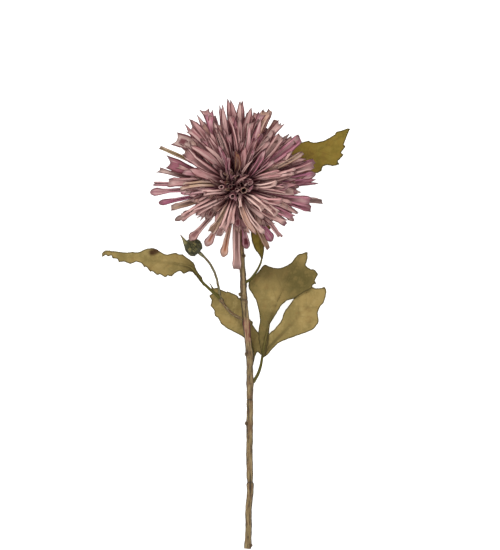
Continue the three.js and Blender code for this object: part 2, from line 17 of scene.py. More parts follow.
import bpy
import numpy as np
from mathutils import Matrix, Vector

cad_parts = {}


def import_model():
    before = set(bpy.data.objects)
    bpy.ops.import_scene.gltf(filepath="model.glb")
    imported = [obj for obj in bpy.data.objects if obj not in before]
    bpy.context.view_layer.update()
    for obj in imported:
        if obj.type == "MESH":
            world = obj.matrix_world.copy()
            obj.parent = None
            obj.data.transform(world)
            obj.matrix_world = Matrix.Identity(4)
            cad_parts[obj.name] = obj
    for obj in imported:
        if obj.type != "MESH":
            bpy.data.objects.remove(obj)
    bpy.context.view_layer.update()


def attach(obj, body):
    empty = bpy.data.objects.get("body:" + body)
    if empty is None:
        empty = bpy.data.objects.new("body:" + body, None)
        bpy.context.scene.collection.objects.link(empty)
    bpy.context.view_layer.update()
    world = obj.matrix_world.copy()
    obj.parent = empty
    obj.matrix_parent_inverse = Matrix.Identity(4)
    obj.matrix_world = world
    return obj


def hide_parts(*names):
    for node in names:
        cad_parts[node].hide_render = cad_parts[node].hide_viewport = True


log = logging.getLogger("chrysanthemum")

MM = 0.001
GOLDEN_ANGLE = math.pi * (3 - math.sqrt(5))
BODY = "root"

Array = np.ndarray
Point = tuple[float, float, float]
Flat = tuple[float, float]
Draw = Callable[[], float]
Object = bpy.types.Object
Material = bpy.types.Material
Node = bpy.types.Node
Socket = bpy.types.NodeSocket


# Numbers and points


def seeded_draws(seed: int) -> Draw:
    """Draws numbers from 0 to 1 that are the same on every run.

    Args:
        seed: Start of the sequence.

    Returns:
        A function that gives the next number.
    """
    state = seed

    def draw() -> float:
        """Gives the next number."""
        nonlocal state
        state = (state * 16807) % 2147483647
        return state / 2147483647

    return draw


def lerp(a: float, b: float, t: float) -> float:
    """Goes from a to b as t goes from 0 to 1."""
    return a + (b - a) * t


def smooth(x: Array | float, low: float, high: float) -> Array:
    """Rises smoothly from 0 at low to 1 at high."""
    t = np.clip((np.asarray(x) - low) / (high - low), 0.0, 1.0)
    return t * t * (3 - 2 * t)


def leaning(lean: float, azimuth: float) -> Array:
    """Gives the unit direction at an angle from straight up and one from +X in plan, both in radians."""
    return np.array([math.sin(lean) * math.cos(azimuth), math.sin(lean) * math.sin(azimuth), math.cos(lean)])


def unit(vectors: Array) -> Array:
    """Scales vectors to length one."""
    return vectors / np.maximum(np.linalg.norm(vectors, axis=-1, keepdims=True), 1e-12)


def bump(distance: Array, height: float, half_length: float) -> Array:
    """Gives a round swelling over a distance from its middle."""
    return height * np.exp(-((distance / half_length) ** 2))


def smooth_line(points: Sequence[Point], steps: int) -> tuple[Array, Array]:
    """Runs a smooth line through points and reads it at equal steps of its length.

    Args:
        points: Points in millimetres.
        steps: Number of steps.

    Returns:
        Points in millimetres and unit tangents, one more than the steps.
    """
    p = np.array(points, float)
    p = np.vstack([2 * p[0] - p[1], p, 2 * p[-1] - p[-2]])
    knots = np.concatenate([[0], np.cumsum(np.linalg.norm(np.diff(p, axis=0), axis=1) ** 0.5)])
    dense = []
    for i in range(1, len(p) - 2):
        t0, t1, t2, t3 = knots[i - 1 : i + 3]
        t = np.linspace(t1, t2, 24, endpoint=False)[:, None]
        a1 = (t1 - t) / (t1 - t0) * p[i - 1] + (t - t0) / (t1 - t0) * p[i]
        a2 = (t2 - t) / (t2 - t1) * p[i] + (t - t1) / (t2 - t1) * p[i + 1]
        a3 = (t3 - t) / (t3 - t2) * p[i + 1] + (t - t2) / (t3 - t2) * p[i + 2]
        b1 = (t2 - t) / (t2 - t0) * a1 + (t - t0) / (t2 - t0) * a2
        b2 = (t3 - t) / (t3 - t1) * a2 + (t - t1) / (t3 - t1) * a3
        dense.append((t2 - t) / (t2 - t1) * b1 + (t - t1) / (t2 - t1) * b2)
    line = np.vstack([*dense, p[-2]])
    length = np.concatenate([[0], np.cumsum(np.linalg.norm(np.diff(line, axis=0), axis=1))])
    wanted = np.linspace(0, length[-1], steps + 1)
    even = np.column_stack([np.interp(wanted, length, line[:, k]) for k in range(3)])
    return even, unit(np.gradient(even, axis=0))


def bow_frame(root: Array, middle: Array, tip: Array, share: Array, across: Array) -> tuple[Array, ...]:
    """Follows a bow from its root by its control point to its tip.

    Args:
        root: Where it starts.
        middle: Its control point.
        tip: Where it ends.
        share: Shares of the way at which it is read.
        across: Direction that lies across it.

    Returns:
        At each share the point, and the unit directions along the bow, across it and off it.
    """
    t = share[:, None]
    line = root * (1 - t) ** 2 + middle * 2 * t * (1 - t) + tip * t * t
    tangent = unit((middle - root) * (1 - t) + (tip - middle) * t)
    side = unit(across - tangent * (tangent @ across)[:, None])
    return line, tangent, side, np.cross(tangent, side)


def beside_line(line: Array, points: Array) -> tuple[Array, Array]:
    """Measures points in plan against a line.

    Args:
        line: Points of the line in plan.
        points: Points to measure.

    Returns:
        For each point, how far along the line its nearest place is, and its distance, positive on the left.
    """
    start, span = line[:-1], np.diff(line, axis=0)
    size = np.linalg.norm(span, axis=1)
    from_start = points[:, None] - start
    share = np.clip((from_start * span).sum(-1) / (size**2 + 1e-12), 0, 1)
    gap = from_start - share[..., None] * span
    distance = np.linalg.norm(gap, axis=-1)
    best = distance.argmin(1)
    row = np.arange(len(points))
    turn = span[best, 0] * gap[row, best, 1] - span[best, 1] * gap[row, best, 0]
    along = np.concatenate([[0], np.cumsum(size)])[best] + share[row, best] * size[best]
    return along, distance[row, best] * np.where(turn < 0, -1.0, 1.0)


# Meshes


def only(obj: Object) -> None:
    """Selects one object alone and makes it active.

    Args:
        obj: The object.
    """
    bpy.ops.object.select_all(action="DESELECT")
    obj.select_set(True)
    bpy.context.view_layer.objects.active = obj


def flat_sheet(name: str, columns: int, rows: int) -> Object:
    """Adds a flat sheet of squares with its UV map.

    Args:
        name: Name of the object.
        columns: Squares along X.
        rows: Squares along Y.

    Returns:
        The sheet, with corners at 0 and 1.
    """
    bpy.ops.object.select_all(action="DESELECT")
    bpy.ops.mesh.primitive_grid_add(
        x_subdivisions=columns, y_subdivisions=rows, size=1, location=(0.5, 0.5, 0)
    )
    sheet = bpy.context.object
    bpy.ops.object.transform_apply()
    sheet.name = sheet.data.name = name
    return sheet


def places(obj: Object) -> Array:
    """Reads the vertices of a mesh.

    Args:
        obj: The mesh object.

    Returns:
        One row of three numbers for each vertex, in metres.
    """
    points = np.zeros(len(obj.data.vertices) * 3)
    obj.data.vertices.foreach_get("co", points)
    return points.reshape(-1, 3)


def move_to(obj: Object, points: Array) -> None:
    """Moves the vertices of a mesh to new points."""
    obj.data.vertices.foreach_set("co", np.ascontiguousarray(points, dtype=np.float32).ravel())
    obj.data.update()


def store(obj: Object, name: str, values: Array | float) -> None:
    """Stores one number for each vertex as a named attribute.

    Args:
        obj: The mesh object.
        name: Name of the attribute.
        values: One number for each vertex, or one for all.
    """
    layer = obj.data.attributes.new(name, "FLOAT", "POINT")
    spread = np.broadcast_to(np.asarray(values, dtype=np.float32), len(obj.data.vertices))
    layer.data.foreach_set("value", np.ascontiguousarray(spread))


def store_uv(obj: Object, along: Array, across: Array) -> None:
    """Writes one pair of numbers for each vertex into the UV map.

    Args:
        obj: The mesh object.
        along: First number of each vertex.
        across: Second number of each vertex.
    """
    index = np.zeros(len(obj.data.loops), dtype=int)
    obj.data.loops.foreach_get("vertex_index", index)
    pairs = np.column_stack([along[index], across[index]]).astype(np.float32)
    obj.data.uv_layers[0].data.foreach_set("uv", pairs.ravel())


def sewn(obj: Object, gap: float = 0.01 * MM, closed: bool = True) -> Object:
    """Merges the seam of a rolled sheet, and may close its ends and turn its faces outward.

    Args:
        obj: The rolled sheet.
        gap: Distance under which points are one.
        closed: Whether the ends are closed.

    Returns:
        The same object.
    """
    only(obj)
    bpy.ops.object.mode_set(mode="EDIT")
    bpy.ops.mesh.select_all(action="SELECT")
    bpy.ops.mesh.remove_doubles(threshold=gap)
    if closed:
        bpy.ops.mesh.fill_holes(sides=0)
        bpy.ops.mesh.select_all(action="SELECT")
        bpy.ops.mesh.normals_make_consistent(inside=False)
    bpy.ops.object.mode_set(mode="OBJECT")
    return obj


def joined(parts: Sequence[Object], name: str) -> Object:
    """Joins objects into the first one.

    Args:
        parts: The objects, each with its own mesh.
        name: Name of the result.

    Returns:
        The joined object.
    """
    bpy.ops.object.select_all(action="DESELECT")
    for part in parts:
        part.select_set(True)
    bpy.context.view_layer.objects.active = parts[0]
    if len(parts) > 1:
        bpy.ops.object.join()
    parts[0].name = parts[0].data.name = name
    return parts[0]


def thicken(obj: Object, thickness: float) -> None:
    """Gives a sheet its wall, half to each side.

    Args:
        obj: The sheet.
        thickness: Wall in metres.
    """
    only(obj)
    wall = obj.modifiers.new("wall", "SOLIDIFY")
    wall.thickness = thickness
    wall.offset = 0
    bpy.ops.object.modifier_apply(modifier=wall.name)


def crumple(obj: Object, grain: float, depth: float) -> None:
    """Pushes a surface in and out by soft noise.

    Args:
        obj: The mesh object.
        grain: Size of the noise in metres.
        depth: Whole depth of the noise in metres.
    """
    only(obj)
    noise = bpy.data.textures.new(f"{obj.name}_crumple", "CLOUDS")
    noise.noise_scale = grain
    noise.noise_depth = 2
    push = obj.modifiers.new("crumple", "DISPLACE")
    push.texture = noise
    push.texture_coords = "LOCAL"
    push.strength = depth
    bpy.ops.object.modifier_apply(modifier=push.name)


def soften(obj: Object, degrees: float = 60) -> None:
    """Smooths the shading over all edges blunter than an angle."""
    only(obj)
    bpy.ops.object.shade_smooth_by_angle(angle=math.radians(degrees))


def dress(obj: Object, finish: Material, slot: str, *nodes: str) -> None:
    """Gives a piece its material and its place in the frame.

    Args:
        obj: The finished piece.
        finish: Its material.
        slot: The record's material slot; not used.
        nodes: Solids that the piece stands for.
    """
    obj.data.materials.clear()
    obj.data.materials.append(finish)
    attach(obj, BODY)
    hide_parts(*nodes)
    log.info("%s: %d faces", obj.name, len(obj.data.polygons))


def shoot(
    name: str,
    line: Sequence[Point],
    steps: int,
    sides: int,
    radius_at: Callable[[Array, Array, Array], Array],
) -> Object:
    """Rolls a sheet round a line into a closed shoot.

    Args:
        name: Name of the object.
        line: Points of the line in millimetres.
        steps: Steps along it.
        sides: Sides round it.
        radius_at: Radius in millimetres for arrays of share of length, angle, and centre in millimetres.

    Returns:
        The shoot, with its UV map round and along it and "flank" for how far each point is to a side.
    """
    obj = flat_sheet(name, sides, steps)
    sheet = places(obj)
    centres, along = smooth_line(line, steps)
    across = np.zeros_like(centres)
    last = unit(np.cross(along[0], (0.0, 0.0, 1.0)))
    for i, tangent in enumerate(along):
        last = unit(last - tangent * last.dot(tangent))
        across[i] = last
    lift = np.cross(across, along)
    step = np.rint(sheet[:, 1] * steps).astype(int)
    angle = sheet[:, 0] * math.tau
    radius = radius_at(sheet[:, 1], angle, centres[step])
    ring = across[step] * -np.cos(angle)[:, None] + lift[step] * np.sin(angle)[:, None]
    move_to(obj, (centres[step] + ring * radius[:, None]) * MM)
    store(obj, "flank", np.abs(np.cos(angle)))
    return sewn(obj, 0.005 * MM)


# Finishes


def linear(code: str) -> tuple[float, float, float, float]:
    """Turns an sRGB hex colour to linear light.

    Args:
        code: Six hex digits.

    Returns:
        Red, green, blue and alpha from 0 to 1.
    """
    parts = [int(code[i : i + 2], 16) / 255 for i in (0, 2, 4)]
    red, green, blue = (p / 12.92 if p <= 0.04045 else ((p + 0.055) / 1.055) ** 2.4 for p in parts)
    return (red, green, blue, 1.0)


def add_node(tree: bpy.types.NodeTree, kind: str, *inputs: object, **settings: object) -> Node:
    """Adds a node with its settings and links.

    Args:
        tree: The material's node tree.
        kind: Node type without its ShaderNode prefix.
        inputs: For each input in its order a node (its first output), a socket, a number or a hex colour,
            or one dictionary of these by the inputs' names or numbers.
        settings: Properties of the node.

    Returns:
        The node.
    """
    node = tree.nodes.new(f"ShaderNode{kind}")
    for name, value in settings.items():
        setattr(node, name, value)
    by_key = inputs[0] if inputs and isinstance(inputs[0], dict) else dict(enumerate(inputs))
    for key, value in by_key.items():
        if isinstance(value, Node):
            value = next(output for output in value.outputs if output.enabled)
        if isinstance(value, Socket):
            tree.links.new(value, node.inputs[key])
        else:
            node.inputs[key].default_value = linear(value) if isinstance(value, str) else value
    return node


# Side veins of the leaves, printed and pressed: their spacing along the midrib in millimetres, and how far
# they run on for each millimetre beside it.
VEIN_SPACING = 9.0
VEIN_SLANT = 0.95

COLOUR = {"data_type": "RGBA"}
RISE = {"interpolation_type": "SMOOTHSTEP"}
TIMES = {"operation": "MULTIPLY"}


def new_material(name: str) -> tuple[Material, Callable[..., Node]]:
    """Starts an empty material.

    Args:
        name: What the real material is.

    Returns:
        The material and the function that adds nodes to it.
    """
    material = bpy.data.materials.new(name)
    material.use_nodes = True
    material.node_tree.nodes.clear()
    return material, partial(add_node, material.node_tree)


def layered(
    node: Callable[..., Node], colour: Node,
    layers: Sequence[tuple[Node | Socket, Socket | float, str]],
) -> Node:
    """Mixes layers of colour over one another.

    Args:
        node: The function that adds nodes.
        colour: The colour under the layers.
        layers: For each layer its mask, its strength as a number or socket, and its hex colour.

    Returns:
        The node that gives the mixed colour.
    """
    for mask, strength, shade in layers:
        amount = node("Math", mask, strength, **TIMES)
        colour = node("Mix", {0: amount, 6: colour, 7: shade}, **COLOUR)
    return colour


def shaded(
    node: Callable[..., Node], colour: Node, height: Node, depth: float, roughness: float, gloss: float,
    sheen: float = 0.0,
) -> None:
    """Ends a material with its relief and its shader.

    Args:
        node: The function that adds nodes.
        colour: The mixed colour.
        height: The relief's height from 0 to 1.
        depth: Depth of the relief in millimetres.
        roughness: How dull the surface is.
        gloss: Strength of its reflection.
        sheen: Strength of its fuzz.
    """
    relief = node("Bump", {"Height": height, "Distance": depth * MM})
    shader = node("BsdfPrincipled", {
        "Base Color": colour, "Normal": relief, "Roughness": roughness, "Specular IOR Level": gloss,
        "Sheen Weight": sheen,
    })
    node("OutputMaterial", shader)


@dataclass(frozen=True)
class DyedPetalCloth:
    """Polyester petal cloth, dyed by hand and rolled hot.

    The cloth drinks dye unevenly, so each petal has lengthwise streaks, which also carry painted highlights
    and painted shade in its creases, a dark cut end where dye gathered, and no gloss. The wine at its root
    and deep in the bloom, and the dark lines along its folded sides and in its slit, are painted shade.
    """

    name: str = "dyed_polyester_petal_cloth"
    # Painted light and shade: light is the painted highlight along the streaks, shadow the dark streaks and
    # threads, wine the painted shade at the roots and deep in the bloom, edge the painted shade along the
    # folded sides and in the slit. Wine is also the stain in a spoon's hollow.
    wine: str = "561521"
    light: str = "D6B9B1"
    shadow: str = "78363F"
    edge: str = "541920"
    tip: str = "5C4744"
    ember: str = "9A5838"
    streaks_across: float = 3.0
    streak_length: float = 1.7

    def build(self) -> Material:
        """Builds the material from each floret's own sheet, dye and folds.

        Returns:
            The material.
        """
        material, node = new_material(self.name)
        uv = node("UVMap", uv_map="UVMap")
        sheet = node("SeparateXYZ", uv)
        across, along = sheet.outputs[0], sheet.outputs[1]
        own = {name: node("Attribute", attribute_name=name).outputs["Fac"]
               for name in ("pick", "bend", "slit", "spot", "ember", "root", "deep", "tipped")}
        dye = node("Attribute", attribute_name="dye")
        lane = node("VectorMath", uv, (self.streaks_across, self.streak_length, 0), **TIMES)
        shift = node("Math", own["pick"], 50.0, **TIMES)
        streak, fibre = (
            node("TexNoise", {"Vector": lane, "W": shift, "Scale": scale, "Detail": 3.0, "Roughness": 0.65},
                 noise_dimensions="4D")
            for scale in (1.0, 3.6)
        )
        # Painted shade: wine at the root runs out into the petal's own dye, and wine also darkens the petal
        # deep in the bloom.
        past_root = node("Math", along, own["root"], operation="SUBTRACT")
        open_part = node("MapRange", past_root, -0.12, 0.2, **RISE)
        shallow = node("MapRange", own["deep"], 1.0, 0.0, 0.26, 1.0)
        open_part = node("Math", open_part, shallow, **TIMES)
        colour = node("Mix", {0: open_part, 6: self.wine, 7: dye}, **COLOUR)
        # Each layer below is mixed in by its own mask: the streaks, light in painted highlight and dark in
        # painted shade, the threads in painted shade, the folded sides and the slit between the lips, also
        # painted shade, and the cut end.
        bright = node("MapRange", streak, 0.47, 0.63, **RISE)
        bright = node("Math", bright, open_part, **TIMES)
        from_slit = node("Math", across, 0.5, operation="SUBTRACT")
        from_slit = node("Math", from_slit, operation="ABSOLUTE")
        in_slit = node("MapRange", from_slit, 0.2, 0.06, **RISE)
        in_slit = node("Math", in_slit, own["slit"], **TIMES)
        not_end = node("MapRange", along, 0.9, 0.72, **RISE)
        cut_end = node("MapRange", along, 0.93, 1.0, **RISE)
        cut_end = node("Math", cut_end, own["tipped"], **TIMES)
        colour = layered(node, colour, (
            (bright, 0.6, self.light),
            (node("MapRange", streak, 0.45, 0.3, **RISE), 0.7, self.shadow),
            (node("MapRange", fibre, 0.56, 0.7, **RISE), 0.5, self.shadow),
            (node("MapRange", own["bend"], 0.76, 0.97, **RISE), 0.9, self.edge),
            (node("Math", in_slit, not_end, **TIMES), 0.85, self.edge),
            (cut_end, 0.6, self.tip),
        ))
        # Hollow of a spoon, stained wine or orange: how far towards the folds the stain fades and is full,
        # and its place and half length along the petal.
        stains = (
            (own["spot"], self.wine, 0.8, 0.3, 0.89, 0.08),
            (own["ember"], self.ember, 0.5, 0.1, 0.84, 0.13),
        )
        for stain, shade, rim, middle, place, half_length in stains:
            centre = node("MapRange", own["bend"], rim, middle, **RISE)
            away = node("Math", along, place, operation="SUBTRACT")
            away = node("Math", away, operation="ABSOLUTE")
            nearby = node("MapRange", away, half_length, half_length * 0.4, **RISE)
            hollow = node("Math", centre, nearby, **TIMES)
            colour = layered(node, colour, ((hollow, stain, shade),))
        height = node("Math", streak, node("Math", fibre, 0.5, **TIMES), operation="ADD")
        shaded(node, colour, height, depth=0.6, roughness=0.85, gloss=0.2, sheen=0.08)
        return material


@dataclass(frozen=True)
class HeartCloth:
    """The same cloth in the heart, darkest of all.

    Its tubes darken towards their bottom in painted shade, and their cut rims are paler, a painted highlight.
    """

    name: str = "dark_wine_polyester_cloth"
    deep: str = "66242C"
    wine: str = "8A5055"
    rim: str = "B88F8A"

    def build(self) -> Material:
        """Builds the material from the tubes' own length.

        Returns:
            The material.
        """
        material, node = new_material(self.name)
        along = node("SeparateXYZ", node("UVMap", uv_map="UVMap")).outputs[1]
        place = node("TexCoord").outputs["Object"]
        mottle = node("TexNoise", {"Vector": place, "Scale": 1 / (1.6 * MM), "Detail": 3.0})
        # Painted shade: the tubes darken towards their bottom.
        past_root = node("MapRange", along, 0.3, 0.85, **RISE)
        colour = node("Mix", {0: past_root, 6: self.deep, 7: self.wine}, **COLOUR)
        # Painted highlight on the cut rims.
        rim = node("MapRange", along, 0.86, 0.97, **RISE)
        colour = node("Mix", {0: rim, 6: colour, 7: self.rim}, **COLOUR)
        dark = node("Math", node("MapRange", mottle, 0.48, 0.68, **RISE), 0.6, **TIMES)
        colour = node("Mix", {0: dark, 6: colour, 7: self.deep}, **COLOUR)
        shaded(node, colour, mottle, depth=0.2, roughness=0.85, gloss=0.2)
        return material


@dataclass(frozen=True)
class PrintedLeafCloth:
    """Coated polyester leaf cloth with pressed veins.

    The print is blotched olive and brown, darker where the hot knife sealed the edge, and the coating
    leaves a faint dull sheen.
    """

    name: str
    base: str
    olive: str
    pale: str
    brown: str
    dark: str
    edge: str
    stalk: str = "504B1E"
    spot: str = "3F280F"

    def build(self) -> Material:
        """Builds the material from distance along and across the midrib, in metres.

        Returns:
            The material.
        """
        material, node = new_material(self.name)
        parts = node("SeparateXYZ", node("UVMap", uv_map="UVMap"))
        along, across = parts.outputs[0], parts.outputs[1]
        place = node("TexCoord").outputs["Object"]
        own = {name: node("Attribute", attribute_name=name).outputs["Fac"]
               for name in ("rim", "spot", "stalk", "shade")}
        blotch, patch, grain = (
            node("TexNoise", {"Vector": place, "Scale": 1 / (size * MM), "Detail": 4.0, "Roughness": 0.62})
            for size in (15.0, 5.0, 1.1)
        )
        away = node("Math", across, operation="ABSOLUTE")
        # Side veins leave the midrib at a slant and waver with the print.
        slant = node("Math", away, -VEIN_SLANT, **TIMES)
        waver = node("Math", patch, 3.0 * MM, **TIMES)
        run = node("Math", along, slant, operation="ADD")
        run = node("Math", run, waver, operation="ADD")
        beat = node("Math", run, VEIN_SPACING * MM, operation="DIVIDE")
        beat = node("Math", beat, operation="FRACT")
        beat = node("Math", beat, 0.5, operation="SUBTRACT")
        beat = node("Math", beat, operation="ABSOLUTE")
        line = node("MapRange", beat, 0.06, 0.0, **RISE)
        line = node("Math", line, node("MapRange", away, 16 * MM, 3 * MM, **RISE), **TIMES)
        midrib = node("MapRange", away, 1.7 * MM, 0.4 * MM, **RISE)
        near_base = node("MapRange", along, 42 * MM, 6 * MM, 0.1, 1.0, **RISE)
        midrib = node("Math", midrib, near_base, **TIMES)
        vein = node("Math", line, 0.3, **TIMES)
        vein = node("Math", vein, midrib, operation="MAXIMUM")
        greener = node("MapRange", blotch, 0.4, 0.6, **RISE)
        colour = node("Mix", {0: greener, 6: self.base, 7: self.olive}, **COLOUR)
        # Each layer below is mixed in by its own mask: light and worn patches of the print, the darker
        # parts of a blade, veins, the sealed edge, the stalk and brown spots.
        uneven = node("MapRange", patch, 0.35, 0.55, 0.65, 1.0, **RISE)
        colour = layered(node, colour, (
            (node("MapRange", patch, 0.5, 0.68, **RISE), 0.45, self.pale),
            (node("MapRange", patch, 0.46, 0.33, **RISE), 0.4, self.brown),
            (node("Math", own["shade"], uneven, **TIMES), 1.0, self.dark),
            (vein, 0.34, self.edge),
            (midrib, 0.3, self.edge),
            (node("MapRange", own["rim"], 1.3 * MM, 0.2 * MM, **RISE), 0.85, self.edge),
            (own["stalk"], 1.0, self.stalk),
            (own["spot"], 1.0, self.spot),
        ))
        height = node("Math", node("Math", grain, 0.4, **TIMES), vein, operation="SUBTRACT")
        shaded(node, colour, height, depth=0.4, roughness=0.76, gloss=0.18)
        return material


@dataclass(frozen=True)
class WrappedStem:
    """Polyethylene moulded over wire: lengthwise ridges, rubbed brown and speckled, dull all over."""

    name: str
    base: str
    light: str
    brown: str
    dark: str
    blush: str
    red: str
    # Where the pinkish stretch starts and ends along Y, and how far it fades, in millimetres.
    blush_from: float
    blush_to: float
    blush_fade: float = 5.0
    # Cells of the noise that makes the cracks, round the stem and along all of it.
    cracks_round: float = 9.0
    cracks_along: float = 20.0

    def build(self) -> Material:
        """Builds the material from distance round and along the stem.

        Returns:
            The material.
        """
        material, node = new_material(self.name)
        uv = node("UVMap", uv_map="UVMap")
        lane = node("VectorMath", uv, (self.cracks_round, self.cracks_along, 0), **TIMES)
        ridge = node("TexNoise", {"Vector": lane, "Scale": 1.0, "Detail": 3.0, "Roughness": 0.6})
        place = node("TexCoord").outputs["Object"]
        blotch, speck = (
            node("TexNoise", {"Vector": place, "Scale": 1 / (size * MM), "Detail": 3.0, "Roughness": 0.6})
            for size in (8.0, 1.4)
        )
        browner = node("MapRange", blotch, 0.38, 0.62, **RISE)
        colour = node("Mix", {0: browner, 6: self.base, 7: self.brown}, **COLOUR)
        # A pinkish stretch where the branch leaves.
        height = node("SeparateXYZ", place).outputs[1]
        start, end, fade = self.blush_from * MM, self.blush_to * MM, self.blush_fade * MM
        into = node("MapRange", height, start, start + fade, **RISE)
        out = node("MapRange", height, end, end - fade, **RISE)
        flush = node("Math", node("Math", into, out, **TIMES), 0.5, **TIMES)
        colour = node("Mix", {0: flush, 6: colour, 7: self.blush}, **COLOUR)
        # Each layer below is mixed in by its own mask: worn ridges, dark cracks, red streaks in the pinkish
        # stretch, specks, the flanks darkened in painted shade, and the ring marks.
        reddish = node("Math", node("MapRange", ridge, 0.52, 0.44, **RISE), flush, **TIMES)
        # Painted shade: the flanks of the stem are darker than its top.
        flank = node("Attribute", attribute_name="flank").outputs["Fac"]
        colour = layered(node, colour, (
            (node("MapRange", ridge, 0.52, 0.62, **RISE), 0.65, self.light),
            (node("MapRange", ridge, 0.47, 0.37, **RISE), 0.85, self.dark),
            (reddish, 1.8, self.red),
            (node("MapRange", speck, 0.6, 0.68, **RISE), 0.5, self.dark),
            (node("MapRange", flank, 0.66, 0.94, **RISE), 0.95, self.dark),
            (node("Attribute", attribute_name="mark").outputs["Fac"], 0.85, self.dark),
        ))
        rough = node("Math", ridge, node("Math", speck, 0.4, **TIMES), operation="ADD")
        shaded(node, colour, rough, depth=0.5, roughness=0.7, gloss=0.35)
        return material


@dataclass(frozen=True)
class BractPlastic:
    """Soft moulded polyethylene of the bud and the cup: mottled green, brown-edged scales, slight gloss.

    Each scale is darker at its root, its end and its sides, in painted shade.
    """

    name: str
    green: str
    deep: str
    tip: str

    def build(self) -> Material:
        """Builds the material from each scale's own width and length.

        Returns:
            The material.
        """
        material, node = new_material(self.name)
        parts = node("SeparateXYZ", node("UVMap", uv_map="UVMap"))
        place = node("TexCoord").outputs["Object"]
        mottle = node("TexNoise", {"Vector": place, "Scale": 1 / (1.8 * MM), "Detail": 3.0, "Roughness": 0.6})
        red = node("Attribute", attribute_name="red").outputs["Fac"]
        # Painted shade: a scale is light in its middle, and its root and its end are dark.
        from_middle = node("Math", parts.outputs[1], 0.6, operation="SUBTRACT")
        from_middle = node("Math", from_middle, operation="ABSOLUTE")
        middle = node("MapRange", from_middle, 0.38, 0.12, **RISE)
        worn = node("MapRange", mottle, 0.34, 0.56, 0.25, 1.0, **RISE)
        greened = node("Math", middle, worn, **TIMES)
        colour = node("Mix", {0: greened, 6: self.deep, 7: self.green}, **COLOUR)
        near_tip = node("MapRange", parts.outputs[1], 0.35, 0.95, **RISE)
        browned = node("Math", red, near_tip, **TIMES)
        colour = node("Mix", {0: browned, 6: colour, 7: self.tip}, **COLOUR)
        # Painted shade along the sides of each scale.
        side = node("Math", parts.outputs[0], 0.5, operation="SUBTRACT")
        side = node("Math", side, operation="ABSOLUTE")
        rim = node("Math", node("MapRange", side, 0.24, 0.42, **RISE), 0.95, **TIMES)
        colour = node("Mix", {0: rim, 6: colour, 7: self.deep}, **COLOUR)
        shaded(node, colour, mottle, depth=0.3, roughness=0.6, gloss=0.4)
        return material


@dataclass(frozen=True)
class OpalAcrylic:
    """Matte opal acrylic of a shooting table.

    Its material glows, painted light that stands in for light from below and keeps shadows on it faint.
    """

    name: str = "matte_opal_acrylic"
    white: str = "DCDCDB"
    grey: str = "D8D8D7"
    glow: float = 0.8

    def build(self) -> Material:
        """Builds the table's material.

        Returns:
            The material.
        """
        material, node = new_material(self.name)
        place = node("TexCoord").outputs["Object"]
        mottle = node("TexNoise", {"Vector": place, "Scale": 1 / (40 * MM), "Detail": 2.0})
        colour = node("Mix", {0: mottle, 6: self.white, 7: self.grey}, **COLOUR)
        # The emission is the table's painted glow.
        shader = node("BsdfPrincipled", {
            "Base Color": colour, "Roughness": 0.9, "Specular IOR Level": 0.1,
            "Emission Color": "FFFFFF", "Emission Strength": self.glow,
        })
        node("OutputMaterial", shader)
        return material


# Stem and branch


